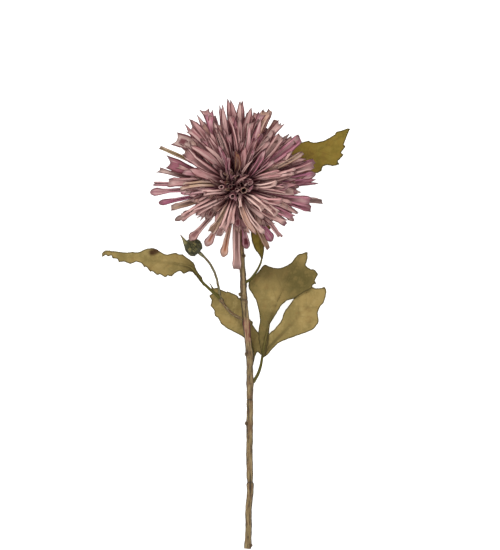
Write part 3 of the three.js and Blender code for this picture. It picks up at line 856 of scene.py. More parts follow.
@dataclass
class Stem:
    """Main stem, from its slanted cut to the neck under the bloom."""

    finish: WrappedStem = WrappedStem(
        "brown_olive_moulded_stem", base="7E6B47", light="A18C64", brown="6B5136", dark="30261A",
        blush="A87B68", red="62291F", blush_from=-16, blush_to=5,
    )
    line: Sequence[Point] = (
        (16.0, -169.6, 2.6), (16.9, -155, 2.6), (16.7, -142, 2.8), (18.0, -126.5, 3.2), (17.6, -104, 3.9),
        (17.8, -74, 4.9), (18.0, -45, 5.9), (17.7, -25, 6.6), (16.4, -11, 7.2), (14.9, 5, 7.7),
        (13.6, 18, 7.8), (12.8, 35, 7.4), (11.6, 52, 6.8), (10.8, 66, 6.5), (9.7, 80, 6.6), (8.7, 91, 7.6),
        (8.1, 98.5, 9.6), (8, 102.4, 12.2), (8, 103, 15.4),
    )
    # Share of the length and radius there.
    taper: Sequence[Flat] = ((0, 2.5), (0.06, 2.45), (0.62, 2.48), (0.73, 2.35), (0.83, 2.1), (1.0, 1.75))
    # Swollen nodes: place along the stem, extra radius and half length. The waist has the same three.
    nodes: Sequence[Point] = (
        (-167, 0.35, 3), (-122, 0.35, 3), (-75, 0.25, 3), (-44, 0.45, 4), (-24, 0.45, 4), (-1, 0.5, 5),
        (18, 0.4, 3), (29, 0.35, 3), (50, 0.3, 2),
    )
    waist: Point = (-118.6, 0.45, 1.3)
    # Nodes, waist and rings are left out where the stem rises to the bloom.
    lying_below: float = 9.7
    scars: Sequence[Point] = (
        (18.6, -167, 3.6), (15.2, -75, 6.2), (15.1, -23, 8.4), (10.5, 22, 9.2), (13.6, 51, 9.1),
    )
    scar_radius: float = 1.5
    # Ring marks: place along the stem and darkness.
    rings: Sequence[Flat] = ((-119.5, 1.0), (-57.2, 0.9), (-43, 0.35), (17.9, 0.9), (29.5, 0.4))
    ring_depth: float = 0.22
    ring_half_width: float = 0.5
    ridges: int = 5
    ridge_depth: float = 0.14

    def radius_at(self, share: Array, angle: Array, centre: Array) -> Array:
        """Gives the stem's radius with its swellings, waist, ring marks, ridges and unevenness.

        Args:
            share: Share of the length at each point.
            angle: Angle round the stem.
            centre: Middle of the stem there.

        Returns:
            The radius at each point.
        """
        y = centre[:, 1]
        lying = centre[:, 2] < self.lying_below
        swollen = sum(bump(y - at, extra, half) for at, extra, half in self.nodes)
        waist = bump(y - self.waist[0], self.waist[1], self.waist[2])
        ring = sum(bump(y - at, self.ring_depth, self.ring_half_width) for at, _ in self.rings)
        uneven = 0.09 * np.sin(y * 0.31 + angle) + 0.07 * np.sin(y * 0.83 + 2 * angle + 1)
        ridge = self.ridge_depth * np.cos(angle * self.ridges + y * 0.02)
        taper = np.interp(share, *np.transpose(self.taper))
        return taper + uneven + ridge + np.where(lying, swollen - waist - ring, 0)

    def scar(self, place: Point, number: int) -> Object:
        """Makes one bud scar, a low knob with a puckered side.

        Args:
            place: Its middle in millimetres.
            number: Number for its name.

        Returns:
            The knob.
        """
        bpy.ops.object.select_all(action="DESELECT")
        bpy.ops.mesh.primitive_uv_sphere_add(
            segments=12, ring_count=8, radius=self.scar_radius * MM, location=Vector(place) * MM
        )
        knob = bpy.context.object
        bpy.ops.object.transform_apply()
        points = places(knob)
        reach = points - np.array(place) * MM
        pucker = 1 + 0.1 * np.sin(reach[:, 1:2] / MM * 5 + number) + 0.08 * np.sin(reach[:, 2:3] / MM * 6)
        move_to(knob, np.array(place) * MM + reach * pucker * (0.85, 1.0, 0.9))
        knob.name = f"scar_{number}"
        store(knob, "mark", 0.55)
        return knob

    def build(self) -> None:
        """Builds and dresses the stem."""
        body = shoot("stem_body", self.line, steps=320, sides=20, radius_at=self.radius_at)
        y = places(body)[:, 1] / MM
        store(body, "mark", np.minimum(1, sum(bump(y - at, dark, 0.7) for at, dark in self.rings)))
        stem = joined([body, *(self.scar(place, i) for i, place in enumerate(self.scars))], "main_stem")
        crumple(stem, grain=3.0 * MM, depth=0.4 * MM)
        soften(stem)
        dress(stem, self.finish.build(), "stem", "stem")


@dataclass
class SideBranch:
    """Thin branch to the bud, with the swollen node where the left leaf leaves."""

    finish: WrappedStem = WrappedStem(
        "grey_olive_moulded_branch", base="6C6644", light="8E8865", brown="665638", dark="2F2D1C",
        blush="7C5A3E", red="5E4426", blush_from=-3, blush_to=22,
    )
    line: Sequence[Point] = (
        (12.2, 3.4, 8.6), (8.5, 5.2, 9.0), (3.5, 8.5, 9.2), (-3.5, 17.5, 9.2), (-5.5, 26.5, 9.4),
        (-8.0, 37, 9.6), (-13.2, 46.5, 9.6), (-20.4, 53.6, 9.3),
    )
    root: float = 1.2
    tip: float = 0.9
    collar: float = 1.3
    node_at: float = 17.4
    node_swell: float = 0.75
    ridges: int = 5

    def radius_at(self, share: Array, angle: Array, centre: Array) -> Array:
        """Gives the branch's radius, with its node, fine ridges and collar.

        Args:
            share: Share of the length at each point.
            angle: Angle round the branch.
            centre: Middle of the branch there.

        Returns:
            The radius at each point.
        """
        y = centre[:, 1]
        taper = self.root + (self.tip - self.root) * smooth(share, 0.0, 0.5)
        collar = (self.collar - self.tip) * smooth(share, 0.9, 0.98)
        node = bump(y - self.node_at, self.node_swell, 1.6) + bump(y - self.node_at - 5.5, 0.25, 1.0)
        ridge = 0.08 * np.cos(angle * self.ridges + share * 9)
        return taper + collar + node + ridge + 0.06 * np.sin(y * 1.1 + angle)

    def build(self) -> None:
        """Builds and dresses the branch."""
        branch = shoot("side_branch_with_node", self.line, steps=100, sides=14, radius_at=self.radius_at)
        y = places(branch)[:, 1] / MM
        store(branch, "mark", bump(y - self.node_at - 1.6, 0.8, 0.5) + bump(y - self.node_at + 1.8, 0.7, 0.4))
        crumple(branch, grain=2.2 * MM, depth=0.25 * MM)
        soften(branch)
        dress(branch, self.finish.build(), "branch", "side_branch")


# The bloom


class TipForm(Enum):
    """How a ray floret ends: rows of share of length, width over that of the tip, and roll in degrees."""

    SPOON = (
        (0.0, 0.26, 120), (0.1, 0.38, 150), (0.3, 0.5, 160), (0.6, 0.56, 162), (0.78, 0.62, 148),
        (0.86, 0.84, 104), (0.92, 1.0, 76), (0.965, 0.92, 66), (1.0, 0.5, 60),
    )
    BLUNT = (
        (0.0, 0.28, 120), (0.1, 0.4, 150), (0.35, 0.62, 158), (0.7, 0.8, 154), (0.93, 0.88, 132),
        (1.0, 0.62, 110),
    )
    NOTCHED = (
        (0.0, 0.28, 120), (0.1, 0.4, 145), (0.35, 0.54, 155), (0.65, 0.62, 140), (0.85, 0.76, 95),
        (1.0, 1.0, 60),
    )
    POINTED = (
        (0.0, 0.28, 120), (0.1, 0.42, 140), (0.3, 0.66, 148), (0.6, 0.84, 138), (0.8, 0.78, 124),
        (0.92, 0.48, 108), (1.0, 0.08, 90),
    )
    QUILL = ((0.0, 0.36, 120), (0.15, 0.5, 150), (0.5, 0.66, 168), (0.9, 0.8, 170), (1.0, 0.9, 166))
    OPEN = (
        (0.0, 0.28, 120), (0.1, 0.42, 140), (0.35, 0.66, 130), (0.65, 0.86, 84), (0.88, 1.0, 52),
        (1.0, 0.98, 44),
    )
    BLADE = ((0.0, 0.6, 70), (0.3, 0.9, 74), (0.7, 0.8, 66), (0.9, 0.46, 60), (1.0, 0.1, 50))
    TUBE = ((0.0, 0.4, 150), (0.2, 0.56, 174), (0.6, 0.8, 179), (0.88, 1.0, 179), (1.0, 1.03, 179))


# The forms, and below the dyes, by their own names, for the tables of florets.
SPOON, BLUNT, NOTCHED, POINTED, QUILL, OPEN, BLADE, TUBE = TipForm


class Dye(Enum):
    """Dye of a ray floret past its wine root."""

    MAUVE = "BB8A89"
    ROSE = "B37584"
    MAGENTA = "A9657D"
    TAN = "AC8D76"
    PEACH = "D0A792"
    BLUSH = "C39A94"
    PALE = "D6B3A9"
    GREY = "917871"
    OLIVE = "907A52"
    BRONZE = "8C6448"
    WINE = "925A66"

    def tone(self) -> Array:
        """Gives the dye as linear red, green and blue."""
        return np.array(linear(self.value)[:3])


MAUVE, ROSE, MAGENTA, TAN, PEACH, BLUSH, PALE, GREY, OLIVE, BRONZE, WINE = Dye


@dataclass
class Floret:
    """One rolled ray floret on a bow from its root to its tip."""

    root: Array
    middle: Array
    tip: Array
    azimuth: float
    half_width: float
    form: TipForm
    dye: Array
    # Turn of its open side about its line in degrees, and share of the length that is wine at the root,
    # painted shade.
    roll: float = 0.0
    wine_until: float = 0.2
    # Strength of the wine and the orange stain in its hollow, and of the dark line in its slit, which is
    # painted shade.
    spot: float = 0.0
    ember: float = 0.0
    slit: float = 1.0
    # Bend to a side in the middle and at the end, and lift of its end.
    sway: float = 0.0
    hook: float = 0.0
    curl: float = 0.0
    # Depth of its hollow over that of a round tube, and where its unevenness starts.
    flat: float = 0.62
    phase: float = 0.0
    # Whether its back faces up.
    turned: bool = False

    def lay(self, across: Array, along: Array) -> tuple[Array, Array]:
        """Lays the sheet's points over the floret's shape.

        Args:
            across: From -1 to 1 over the sheet's width.
            along: From 0 at the root to 1 at the tip.

        Returns:
            Points in metres, and how near each is to the folded side, from 0 to 1.
        """
        level = np.array([-math.sin(self.azimuth), math.cos(self.azimuth), 0.0])
        line, tangent, side, lift = bow_frame(self.root, self.middle, self.tip, along, level)
        turn = (math.radians(self.roll) * smooth(along, 0.0, 0.6))[:, None]
        side, lift = side * np.cos(turn) + lift * np.sin(turn), lift * np.cos(turn) - side * np.sin(turn)
        stations = np.array(self.form.value)
        half = np.interp(along, stations[:, 0], stations[:, 1]) * self.half_width
        half *= 1 + 0.1 * np.sin(along * 11 + self.phase) + 0.05 * np.sin(along * 23 + self.phase * 2)
        wrap = np.radians(np.interp(along, stations[:, 0], stations[:, 2]))
        scale = half / np.sin(np.minimum(wrap, math.pi / 2))
        x = scale * np.sin(across * wrap)
        depth = scale * (1 - np.cos(across * wrap)) * self.flat
        rise = (depth - half * 0.5) * (-0.7 if self.turned else 1.0) + self.curl * along**5
        bent = self.sway * np.sin(along * math.pi) + self.hook * along**2
        forward = self.end_shape(across, along)
        points = line + side * (x + bent)[:, None] + lift * rise[:, None] + tangent * forward[:, None]
        return points * MM, np.clip(np.abs(x) / np.maximum(half, 1e-6), 0, 1)

    def end_shape(self, across: Array, along: Array) -> Array:
        """Pushes the end forward or back across the sheet's width, so that it is cut, ragged or round.

        Args:
            across: From -1 to 1 over the sheet's width.
            along: From 0 at the root to 1 at the tip.

        Returns:
            How far each point moves, in millimetres.
        """
        near_end = smooth(along, 0.84, 1.0)
        slant = across * math.sin(self.phase)
        if self.form in (NOTCHED, OPEN):
            depth = 2.2 + 1.2 * math.cos(self.phase * 3)
            return near_end * (np.abs(across) ** 1.4 * depth - 0.8 + slant * 1.4)
        if self.form is SPOON:
            return near_end * (0.6 - across**2 * 1.4)
        if self.form is TUBE:
            teeth = np.cos(across * math.pi + self.phase) * 1.2 + np.cos(across * 9 + self.phase) * 0.3
            return near_end * teeth
        return near_end * (slant * 1.2 - np.abs(across) ** 3 * 0.9)


@dataclass(frozen=True)
class Filling:
    """A spiral of short florets that close the gaps between the others."""

    count: int
    seed: int
    # Azimuth in radians of its first floret, and lean in degrees of its first and last.
    start: float
    leans: Flat
    # Least and greatest share of the bloom's reach, and how far in radians the florets arch up.
    reaches: Flat
    arch: float
    half_widths: Flat
    forms: Sequence[TipForm]
    # Greatest roll in degrees, bend of the end to a side, and least and greatest lift of the end.
    roll: float
    hook: float
    curls: Flat
    # Lightness of the dyes, and share of the florets that lie with their backs up.
    lightness: float = 1.0
    turned: float = 0.0


@dataclass
class Bloom:
    """All ray florets, in rings that stand for the one solid bloom."""

    finish: DyedPetalCloth = DyedPetalCloth()
    centre: Point = (8.0, 103.0, 29.0)
    # Distance from the middle at which the florets start.
    sink: float = 4.5
    # Florets of the outline: azimuth in degrees, reach, height of the tip, half width, form and dye.
    rim: Sequence[tuple[float, float, float, float, TipForm, Dye]] = (
        (96, 66.2, 16, 2.8, POINTED, MAUVE), (86, 64, 20, 3.0, POINTED, MAUVE),
        (102, 62.5, 9, 2.2, POINTED, WINE), (113, 63, 14, 3.6, NOTCHED, MAUVE),
        (119, 62, 7, 2.6, POINTED, MAUVE), (125, 62.5, 1.2, 2.4, POINTED, GREY),
        (130, 61, 20, 2.2, POINTED, MAUVE), (143, 55, 12, 3.0, POINTED, MAUVE),
        (153, 65, 10, 1.8, QUILL, OLIVE), (161, 54.5, 20, 4.6, OPEN, WINE),
        (168, 60.5, 8, 2.2, NOTCHED, GREY), (178, 62.5, 1.4, 2.2, QUILL, WINE),
        (184, 65, 15, 2.8, SPOON, ROSE), (192, 60, 6, 2.3, SPOON, MAGENTA), (198, 52, 12, 2.9, BLUNT, TAN),
        (209, 53, 8, 1.8, SPOON, GREY), (209, 46.5, 19, 2.5, SPOON, PEACH),
        (229, 53.5, 18.5, 3.0, SPOON, BLUSH), (216, 35, 23, 2.6, POINTED, OLIVE),
        (243, 50.5, 13, 3.0, SPOON, BLUSH), (250, 40, 24, 2.8, BLUNT, BLUSH),
        (259, 54, 12, 2.9, SPOON, PEACH), (270, 62.5, 12.5, 3.7, BLUNT, BLUSH),
        (279, 47.5, 14, 2.9, SPOON, MAGENTA), (303, 49, 15, 3.2, SPOON, MAGENTA),
        (297, 53, 11.5, 1.9, BLUNT, TAN), (311, 50, 19, 2.2, QUILL, MAUVE), (322, 47, 15, 2.3, BLUNT, ROSE),
        (329, 50, 20, 2.0, SPOON, MAUVE), (337, 50.5, 13, 1.9, POINTED, BLUSH),
        (343, 58.5, 16, 3.3, BLUNT, ROSE), (350, 65.5, 10, 2.2, BLUNT, GREY),
        (2, 61.5, 18, 2.0, POINTED, ROSE), (9, 60, 11, 2.6, SPOON, MAGENTA),
        (18, 61.5, 15, 2.8, BLUNT, ROSE), (27, 55.5, 13, 2.2, BLUNT, TAN), (37, 60, 19, 3.6, BLUNT, ROSE),
        (45, 56, 9, 2.4, POINTED, GREY), (55, 58.5, 1.2, 2.4, POINTED, PALE),
        (66, 62.5, 17, 3.2, BLUNT, PEACH), (73, 57, 9, 2.4, POINTED, MAUVE),
        (79, 59, 15, 2.4, POINTED, MAUVE),
    )
    # Azimuth of the stained spoons with the strength of the stain, and of other florets with a wide slit.
    wine_spoons: Sequence[Flat] = ((184, 0.35), (229, 0.65), (279, 0.95))
    orange_spoons: Sequence[Flat] = ((216, 0.5), (243, 0.9), (259, 0.9))
    open_florets: Sequence[float] = (250, 270)
    # Florets with a place of their own near the heart: root and tip from the bloom's middle in plan with
    # their heights above the table, half width, form and dye.
    near_heart: Sequence[tuple[Point, Point, float, TipForm, Dye]] = (
        ((-1.5, -4.5, 38), (-3.2, -9.2, 56), 1.8, TUBE, MAUVE),
        ((4.0, -2.5, 38), (6.3, -4.8, 57), 2.2, TUBE, TAN),
        ((-5.0, -1.0, 40), (-12.0, -1.4, 56), 1.5, TUBE, MAUVE),
        ((5.5, 0.5, 38), (11.0, 1.6, 55), 1.5, TUBE, MAUVE),
        ((5.6, -2.4, 49), (8.2, 1.4, 57), 0.9, BLADE, PALE),
        ((-1.6, -5.4, 49), (2.4, -3.2, 57), 0.9, BLADE, BLUSH),
        ((0.6, 0.4, 49), (5.4, 3.4, 57), 0.9, BLADE, BLUSH),
    )
    # Florets seen nearly whole from above: root and tip in plan from the bloom's middle, half width, form,
    # dye, and how dark the mouth near the tip is.
    covers: Sequence[tuple[Flat, Flat, float, TipForm, Dye, float]] = (
        ((0.2, 13.6), (-6.7, 63.9), 3.5, POINTED, MAUVE, 0),
        ((2.5, 19.6), (-5.4, 51.9), 3.1, BLUNT, MAUVE, 0),
        ((2.5, 15.1), (4.6, 63.1), 3.3, POINTED, BLUSH, 0),
        ((4.7, 15.1), (10.4, 57.5), 3.3, POINTED, MAUVE, 0),
        ((7, 13.6), (14.9, 55.3), 2.9, POINTED, GREY, 0),
        ((7.7, 12.1), (19.7, 51.9), 2.3, POINTED, ROSE, 0),
        ((9.2, 13.6), (24.6, 55.6), 4.4, BLUNT, PEACH, 0),
        ((11.5, 13.6), (31.4, 47), 3.3, NOTCHED, BLUSH, 0),
        ((13, 12.1), (33.2, 36.9), 4.1, BLUNT, BLUSH, 0),
        ((13.7, 10.6), (48.2, 35.5), 4.7, BLUNT, ROSE, 0),
        ((14.5, 9.1), (49, 24.9), 2.2, BLUNT, TAN, 0),
        ((15.2, 7.6), (52.4, 20), 2.7, POINTED, BLUSH, 0),
        ((15.2, 6.1), (57.2, 17), 3.3, BLUNT, MAUVE, 0),
        ((16, 4.6), (58.7, 8.5), 3.5, SPOON, MAGENTA, 0),
        ((16.7, 2.4), (59.5, 2.5), 2.6, POINTED, ROSE, 0),
        ((13, 7.6), (41.5, 12.1), 3.1, QUILL, BLUSH, 0.6),
        ((14.5, 6.1), (33.2, 10.6), 2.9, BLUNT, MAUVE, 0),
        ((16, 3.9), (46.7, 8.8), 2.7, POINTED, BLUSH, 0),
        ((16, -0.6), (47.5, -3.2), 3.3, POINTED, PALE, 0),
        ((16, -2.9), (37, -4.4), 2.9, BLUNT, BLUSH, 0),
        ((13.7, 0.9), (30.2, -0.2), 2.6, BLUNT, PALE, 0),
        ((13, -5.1), (55, -13), 4.2, BLUNT, ROSE, 0),
        ((13, -5.9), (34, -12.6), 3.3, BLUNT, MAUVE, 0),
        ((10, -8.1), (30.2, -21.6), 3.7, BLUNT, PALE, 0.7),
        ((11.5, -6.6), (46, -19), 2.6, POINTED, BLUSH, 0),
        ((10, -8.1), (41.5, -24.6), 2.9, BLUNT, ROSE, 0),
        ((5.5, -8.9), (19.7, -20.1), 3.7, BLUNT, PALE, 0.5),
        ((7, -11.1), (37, -27.2), 2.9, NOTCHED, BLUSH, 0),
        ((3.2, -12.6), (14.5, -35.9), 2.8, POINTED, PEACH, 0),
        ((5.5, -11.9), (22, -34.7), 2.6, SPOON, PALE, 0),
        ((-0.5, -10.4), (1.4, -17.1), 1.2, BLUNT, PALE, 0),
        ((-0.5, -14.9), (-3.1, -29.9), 3.1, BLUNT, BLUSH, 0),
        ((-4.3, -12.6), (-11.8, -32.1), 3.7, BLUNT, BLUSH, 0),
        ((-5.8, -12.6), (-18.9, -34.4), 3.3, BLUNT, TAN, 0),
        ((-8, -11.1), (-32.8, -18.6), 3.1, BLUNT, BLUSH, 0),
        ((-8, -8.9), (-39.5, -20.9), 3.5, QUILL, BLUSH, 0.7),
        ((-8, -6.6), (-24.9, -5.1), 2.8, QUILL, BLUSH, 0.7),
        ((-9.5, -4.4), (-42.5, -4.4), 2.9, BLUNT, ROSE, 0),
        ((-11, -1.4), (-39.5, 0.1), 3.7, QUILL, TAN, 0.7),
        ((-11, 1.6), (-50.8, 4.6), 4, BLUNT, MAUVE, 0),
        ((-11, 3.1), (-35, 12.9), 3.6, POINTED, MAUVE, 0),
        ((-12, 18.5), (-47.5, 36.3), 5.2, OPEN, GREY, 0.9),
        ((-11.8, 6.1), (-38, 23.4), 4.6, BLUNT, MAUVE, 0),
        ((-11, 9.1), (-32.8, 30.9), 3.3, POINTED, MAUVE, 0),
        ((-9.5, 9.1), (-35.8, 43.6), 3.3, NOTCHED, MAUVE, 0),
        ((-8, 9.1), (-33.1, 49.6), 3.3, POINTED, MAUVE, 0),
        ((-8, 10.6), (-23, 30.1), 2, POINTED, BLUSH, 0),
        ((-6.5, 10.6), (-23, 54.9), 3.8, NOTCHED, ROSE, 0),
        ((-5.8, 12.1), (-18.5, 47.4), 2.8, POINTED, BLUSH, 0),
        ((-4.3, 12.1), (-15.1, 49.6), 2.6, POINTED, GREY, 0),
        ((-2.8, 12.1), (-11.5, 60.9), 2.6, POINTED, MAUVE, 0),
        ((-6.5, 7.6), (-14, 29.4), 2.3, POINTED, ROSE, 0),
        ((-5.8, 4.6), (-5, 20.4), 2.4, BLUNT, WINE, 0),
        ((-2.8, 9.1), (-0.5, 25.6), 2.8, POINTED, BRONZE, 0),
        ((4.7, 7.6), (6.2, 28.6), 2.8, POINTED, MAUVE, 0),
        ((7.7, 7.6), (16, 34.6), 2.6, POINTED, MAUVE, 0),
        ((10, 6.1), (22, 25.6), 2.6, POINTED, ROSE, 0),
        ((4.7, 3.1), (13, 18.1), 1.3, BLADE, PALE, 0),
        ((-4.3, -0.6), (10, 6.1), 1.0, BLADE, BLUSH, 0),
    )
    # Thin blades of the tuft on the upper side of the heart: count, root and middle of the tips.
    tuft: tuple[int, Point, Point] = (11, (-1.8, 1.5, 40), (-0.8, 8.5, 58))
    # Small curled florets that lie over each other round the heart.
    curled_count: int = 23
    # Florets of the dome, with their widest and narrowest lean in degrees. The first ones, which lean
    # most, are a piece of their own, and some are left out on the lower side.
    inner_count: int = 124
    outer_count: int = 72
    widest: float = 84.0
    narrowest: float = 14.0
    thinned: float = 0.85
    # The dome reaches up by the crown's reach. It reaches out by the body's, and farther at one azimuth.
    crown_reach: float = 29.0
    body_reach: float = 46.0
    body_swing: float = 12.0
    body_azimuth: float = 68.0
    # Share of the reach past which a covering floret hangs down, its fall for each further share, and how
    # far it lies over the dome before that.
    brow: float = 0.85
    fall: float = 72.0
    cover_lift: float = 2.5
    # Azimuth in radians at which the bloom's upper side, darker in painted shade, starts.
    upper_from: float = 0.3
    # Depths under the dome between which the petals turn from their own dye to wine, painted shade deep in
    # the bloom.
    shallow: float = 2.0
    deep: float = 11.0
    # Spirals between the florets of the dome, and sideways between the dome and the rim.
    fillings: Sequence[Filling] = (
        Filling(
            60, 3, 1.3, (36, 80), (0.6, 0.9), 0.12, (1.5, 2.2), (POINTED, BLUNT, SPOON),
            roll=30, hook=3, curls=(0, 2.5), lightness=0.94, turned=0.25,
        ),
        Filling(
            72, 5, 0.6, (84, 110), (0.88, 1.03), 0.22, (1.8, 2.6), (BLUNT, POINTED, NOTCHED, SPOON),
            roll=24, hook=4, curls=(-2, 1),
        ),
    )
    seed: int = 303
    columns: int = 6
    rows: Sequence[float] = (0, 0.1, 0.24, 0.42, 0.6, 0.76, 0.86, 0.92, 0.965, 1.0)
    wall: float = 0.34

    def upper(self, azimuth: Array | float) -> Array:
        """Gives how far a side of the bloom is on its upper half, darker in painted shade, from 0 to 1."""
        return 0.5 + 0.5 * np.sin(azimuth - self.upper_from)

    def rim_reach(self, azimuth: Array | float) -> Array:
        """Gives how far the body of the bloom reaches on one side."""
        return self.body_reach + self.body_swing * np.cos(azimuth - math.radians(self.body_azimuth))

    def full_reach(self, lean: float, azimuth: float) -> float:
        """Gives how far the bloom's body reaches at a lean on one side."""
        return lerp(self.crown_reach, self.rim_reach(azimuth), smooth(lean, 0, math.radians(72)))

    def dome(self, x: Array | float, y: Array | float) -> tuple[Array, Array]:
        """Gives the height of the bloom's dome over the table and the share of its reach, at points in plan.

        Args:
            x: Distance from the bloom's middle along X.
            y: Distance from the bloom's middle along Y.

        Returns:
            Heights in millimetres and shares.
        """
        share = np.hypot(x, y) / self.rim_reach(np.arctan2(y, x))
        return self.centre[2] + self.crown_reach * np.sqrt(np.clip(1 - share**2, 0, 1)), share

    def drape(self, x: float, y: float) -> float:
        """Gives the height of a tip that lies on the dome and hangs down past its brow.

        Args:
            x: Distance from the bloom's middle along X.
            y: Distance from the bloom's middle along Y.

        Returns:
            Height over the table.
        """
        share = float(self.dome(x, y)[1])
        on_dome = self.centre[2] + self.crown_reach * math.sqrt(1 - min(share, self.brow) ** 2)
        return on_dome + self.cover_lift - self.fall * max(0.0, share - self.brow)

    def depth_under(self, points: Array) -> Array:
        """Gives how deep points lie inside the bloom, from 0 at its surface to 1, for painted shade.

        Args:
            points: Places in metres.

        Returns:
            Depths, which fade out at the rim and count half on the lower side, paler in painted light.
        """
        x, y = points[:, 0] / MM - self.centre[0], points[:, 1] / MM - self.centre[1]
        surface, share = self.dome(x, y)
        depth = smooth(surface - points[:, 2] / MM, self.shallow, self.deep) * (1 - smooth(share, 0.7, 1.0))
        return depth * (0.5 + 0.5 * self.upper(np.arctan2(y, x)))

    def rim_florets(self) -> list[Floret]:
        """Gives the florets whose tips make the outline.

        Returns:
            The florets in the order of their places.
        """
        draw = seeded_draws(self.seed + 1)
        centre = np.array(self.centre)
        made = []
        for degrees, reach, height, half_width, form, dye in self.rim:
            azimuth = math.radians(degrees)
            out = leaning(math.pi / 2, azimuth)
            lift = lerp(-3.2, 0.5, smooth(height, 0, 20))
            tip = centre + out * reach
            tip[2] = height
            middle = centre + out * reach * 0.5
            middle[2] += lerp(-1.5, 4, smooth(height, 0, 22))
            made.append(Floret(
                centre + out * self.sink + np.array([0, 0, lift]), middle, tip, azimuth, half_width, form,
                dye.tone(), lerp(-14, 14, draw()),
                spot=dict(self.wine_spoons).get(degrees, 0.0),
                ember=dict(self.orange_spoons).get(degrees, 0.0),
                slit=0.25 if form is SPOON or degrees in self.open_florets else 0.8,
            ))
        return made

    def dye_and_painted_light_for(self, azimuth: float, draw: Draw) -> Array:
        """Mixes a floret's dye at random, and paints light and shade by its side: rosier and deeper on the
        upper side, paler and brighter on the lower side.

        Args:
            azimuth: The floret's azimuth in radians.
            draw: Seeded draws.

        Returns:
            Linear red, green and blue.
        """
        mauve, rose, tan, peach, pale = (dye.tone() for dye in (MAUVE, ROSE, TAN, PEACH, PALE))
        lower = 1 - float(self.upper(azimuth))
        # The lower side is paler and brighter in painted light.
        mixed = (mauve + (pale - mauve) * draw() * lerp(0.25, 0.95, lower)) * lerp(1.07, 1.12, lower)
        chance = draw()
        if chance < 0.08:
            return mixed + (tan - mixed) * 0.6
        if chance < 0.2:
            return mixed + (peach - mixed) * 0.5
        if chance > 0.7 + 0.15 * lower:
            return mixed + (rose - mixed) * lerp(0.4, 0.9, draw())
        return mixed * lerp(0.86, 1.06, draw())

    def inner_florets(self) -> list[Floret]:
        """Gives the florets that fill the dome by the golden angle, with fewer low ones on the lower side.

        Returns:
            The florets from the most to the least leaning.
        """
        draw = seeded_draws(self.seed)
        pick = seeded_draws(self.seed + 7)
        centre = np.array(self.centre)
        low, high = (math.cos(math.radians(a)) for a in (self.widest, self.narrowest))
        far = (POINTED, NOTCHED, BLUNT, POINTED)
        near = (SPOON, BLUNT, SPOON, QUILL)
        made = []
        for i in range(self.inner_count):
            lean = math.acos(lerp(low, high, (i + 0.5) / self.inner_count))
            lean += math.radians(lerp(-2.5, 2.5, draw()))
            azimuth = i * GOLDEN_ANGLE + math.radians(lerp(-9, 9, draw()))
            crown = 1 - smooth(lean, math.radians(25), math.radians(80))
            tip_lean = lean + crown * math.radians(lerp(14, 52, pick()))
            reach = self.full_reach(tip_lean, azimuth) * lerp(0.82, 1.04, draw()) * (1 - 0.16 * crown)
            forms = far if math.sin(azimuth) > -0.1 else near
            form = forms[int(draw() * len(forms))]
            out = leaning(math.pi / 2, azimuth)
            spread = lerp(6.5, 0, smooth(lean, math.radians(15), math.radians(60)))
            half_width = lerp(2.2, 2.8, smooth(lean, 0, math.radians(60))) * lerp(0.68, 1.12, draw())
            if pick() < self.thinned * max(0.0, -math.sin(azimuth)) * (1 - 0.45 * crown):
                continue
            made.append(Floret(
                centre + leaning(lean, azimuth) * self.sink + out * spread * 0.88,
                centre + leaning(lean * 0.85, azimuth) * reach * 0.6 + out * spread,
                centre + leaning(tip_lean, azimuth) * reach + out * spread * 0.3,
                azimuth, half_width, form, self.dye_and_painted_light_for(azimuth, pick), lerp(-24, 24, draw()),
                spot=0.85 * (form is SPOON and pick() < 0.3), slit=float(pick() < 0.6),
                turned=form in (POINTED, BLUNT) and pick() < 0.3,
                hook=lerp(-7, 7, pick()), curl=lerp(-1.0, 3.0, pick()),
            ))
        return made

    def filler_florets(self) -> list[Floret]:
        """Gives the short florets that stand between the others and close the gaps.

        Returns:
            The florets, one spiral after the other.
        """
        centre = np.array(self.centre)
        made = []
        for fill in self.fillings:
            draw = seeded_draws(self.seed + fill.seed)
            for i in range(fill.count):
                share = (i + 0.5) / fill.count
                lean = math.radians(lerp(*fill.leans, share) + lerp(-3, 3, draw()))
                azimuth = i * GOLDEN_ANGLE + fill.start + math.radians(lerp(-6, 6, draw()))
                reach = self.full_reach(lean, azimuth) * lerp(*fill.reaches, draw())
                made.append(Floret(
                    centre + leaning(lean, azimuth) * self.sink,
                    centre + leaning(lean - fill.arch, azimuth) * reach * 0.5,
                    centre + leaning(lean, azimuth) * reach,
                    azimuth, lerp(*fill.half_widths, draw()), fill.forms[i % len(fill.forms)],
                    self.dye_and_painted_light_for(azimuth, draw) * fill.lightness, lerp(-fill.roll, fill.roll, draw()),
                    turned=fill.turned > 0 and draw() < fill.turned, slit=float(draw() < 0.6),
                    hook=lerp(-fill.hook, fill.hook, draw()), curl=lerp(*fill.curls, draw()),
                ))
        return made

    def cover_florets(self) -> list[Floret]:
        """Gives the florets that lie on the dome and are seen nearly whole from above.

        Returns:
            The florets in the order of their places.
        """
        draw = seeded_draws(self.seed + 11)
        middle = np.array([*self.centre[:2], 0.0])
        made = []
        for root, tip, half_width, form, dye, mouth in self.covers:
            start, end = np.array(root), np.array(tip)
            bend = start + (end - start) * 0.4
            azimuth = math.atan2(*(end - start)[::-1])
            # Lighter at random, and brighter towards the lower side in painted light.
            lightness = lerp(0.86, 1.04, draw()) * (1.1 - 0.11 * math.sin(azimuth - 0.4))
            made.append(Floret(
                middle + (*start * 0.6, 40.0),
                middle + (*bend, float(self.dome(*bend)[0]) + 6.0),
                middle + (*end, self.drape(*end)),
                azimuth, half_width, form, dye.tone() * lightness, lerp(-16, 16, draw()),
                wine_until=0.22, spot=mouth,
                slit=float(draw() < 0.4) * 0.8, hook=lerp(-2.5, 2.5, draw()), curl=lerp(-1.0, 1.0, draw()),
            ))
        return made

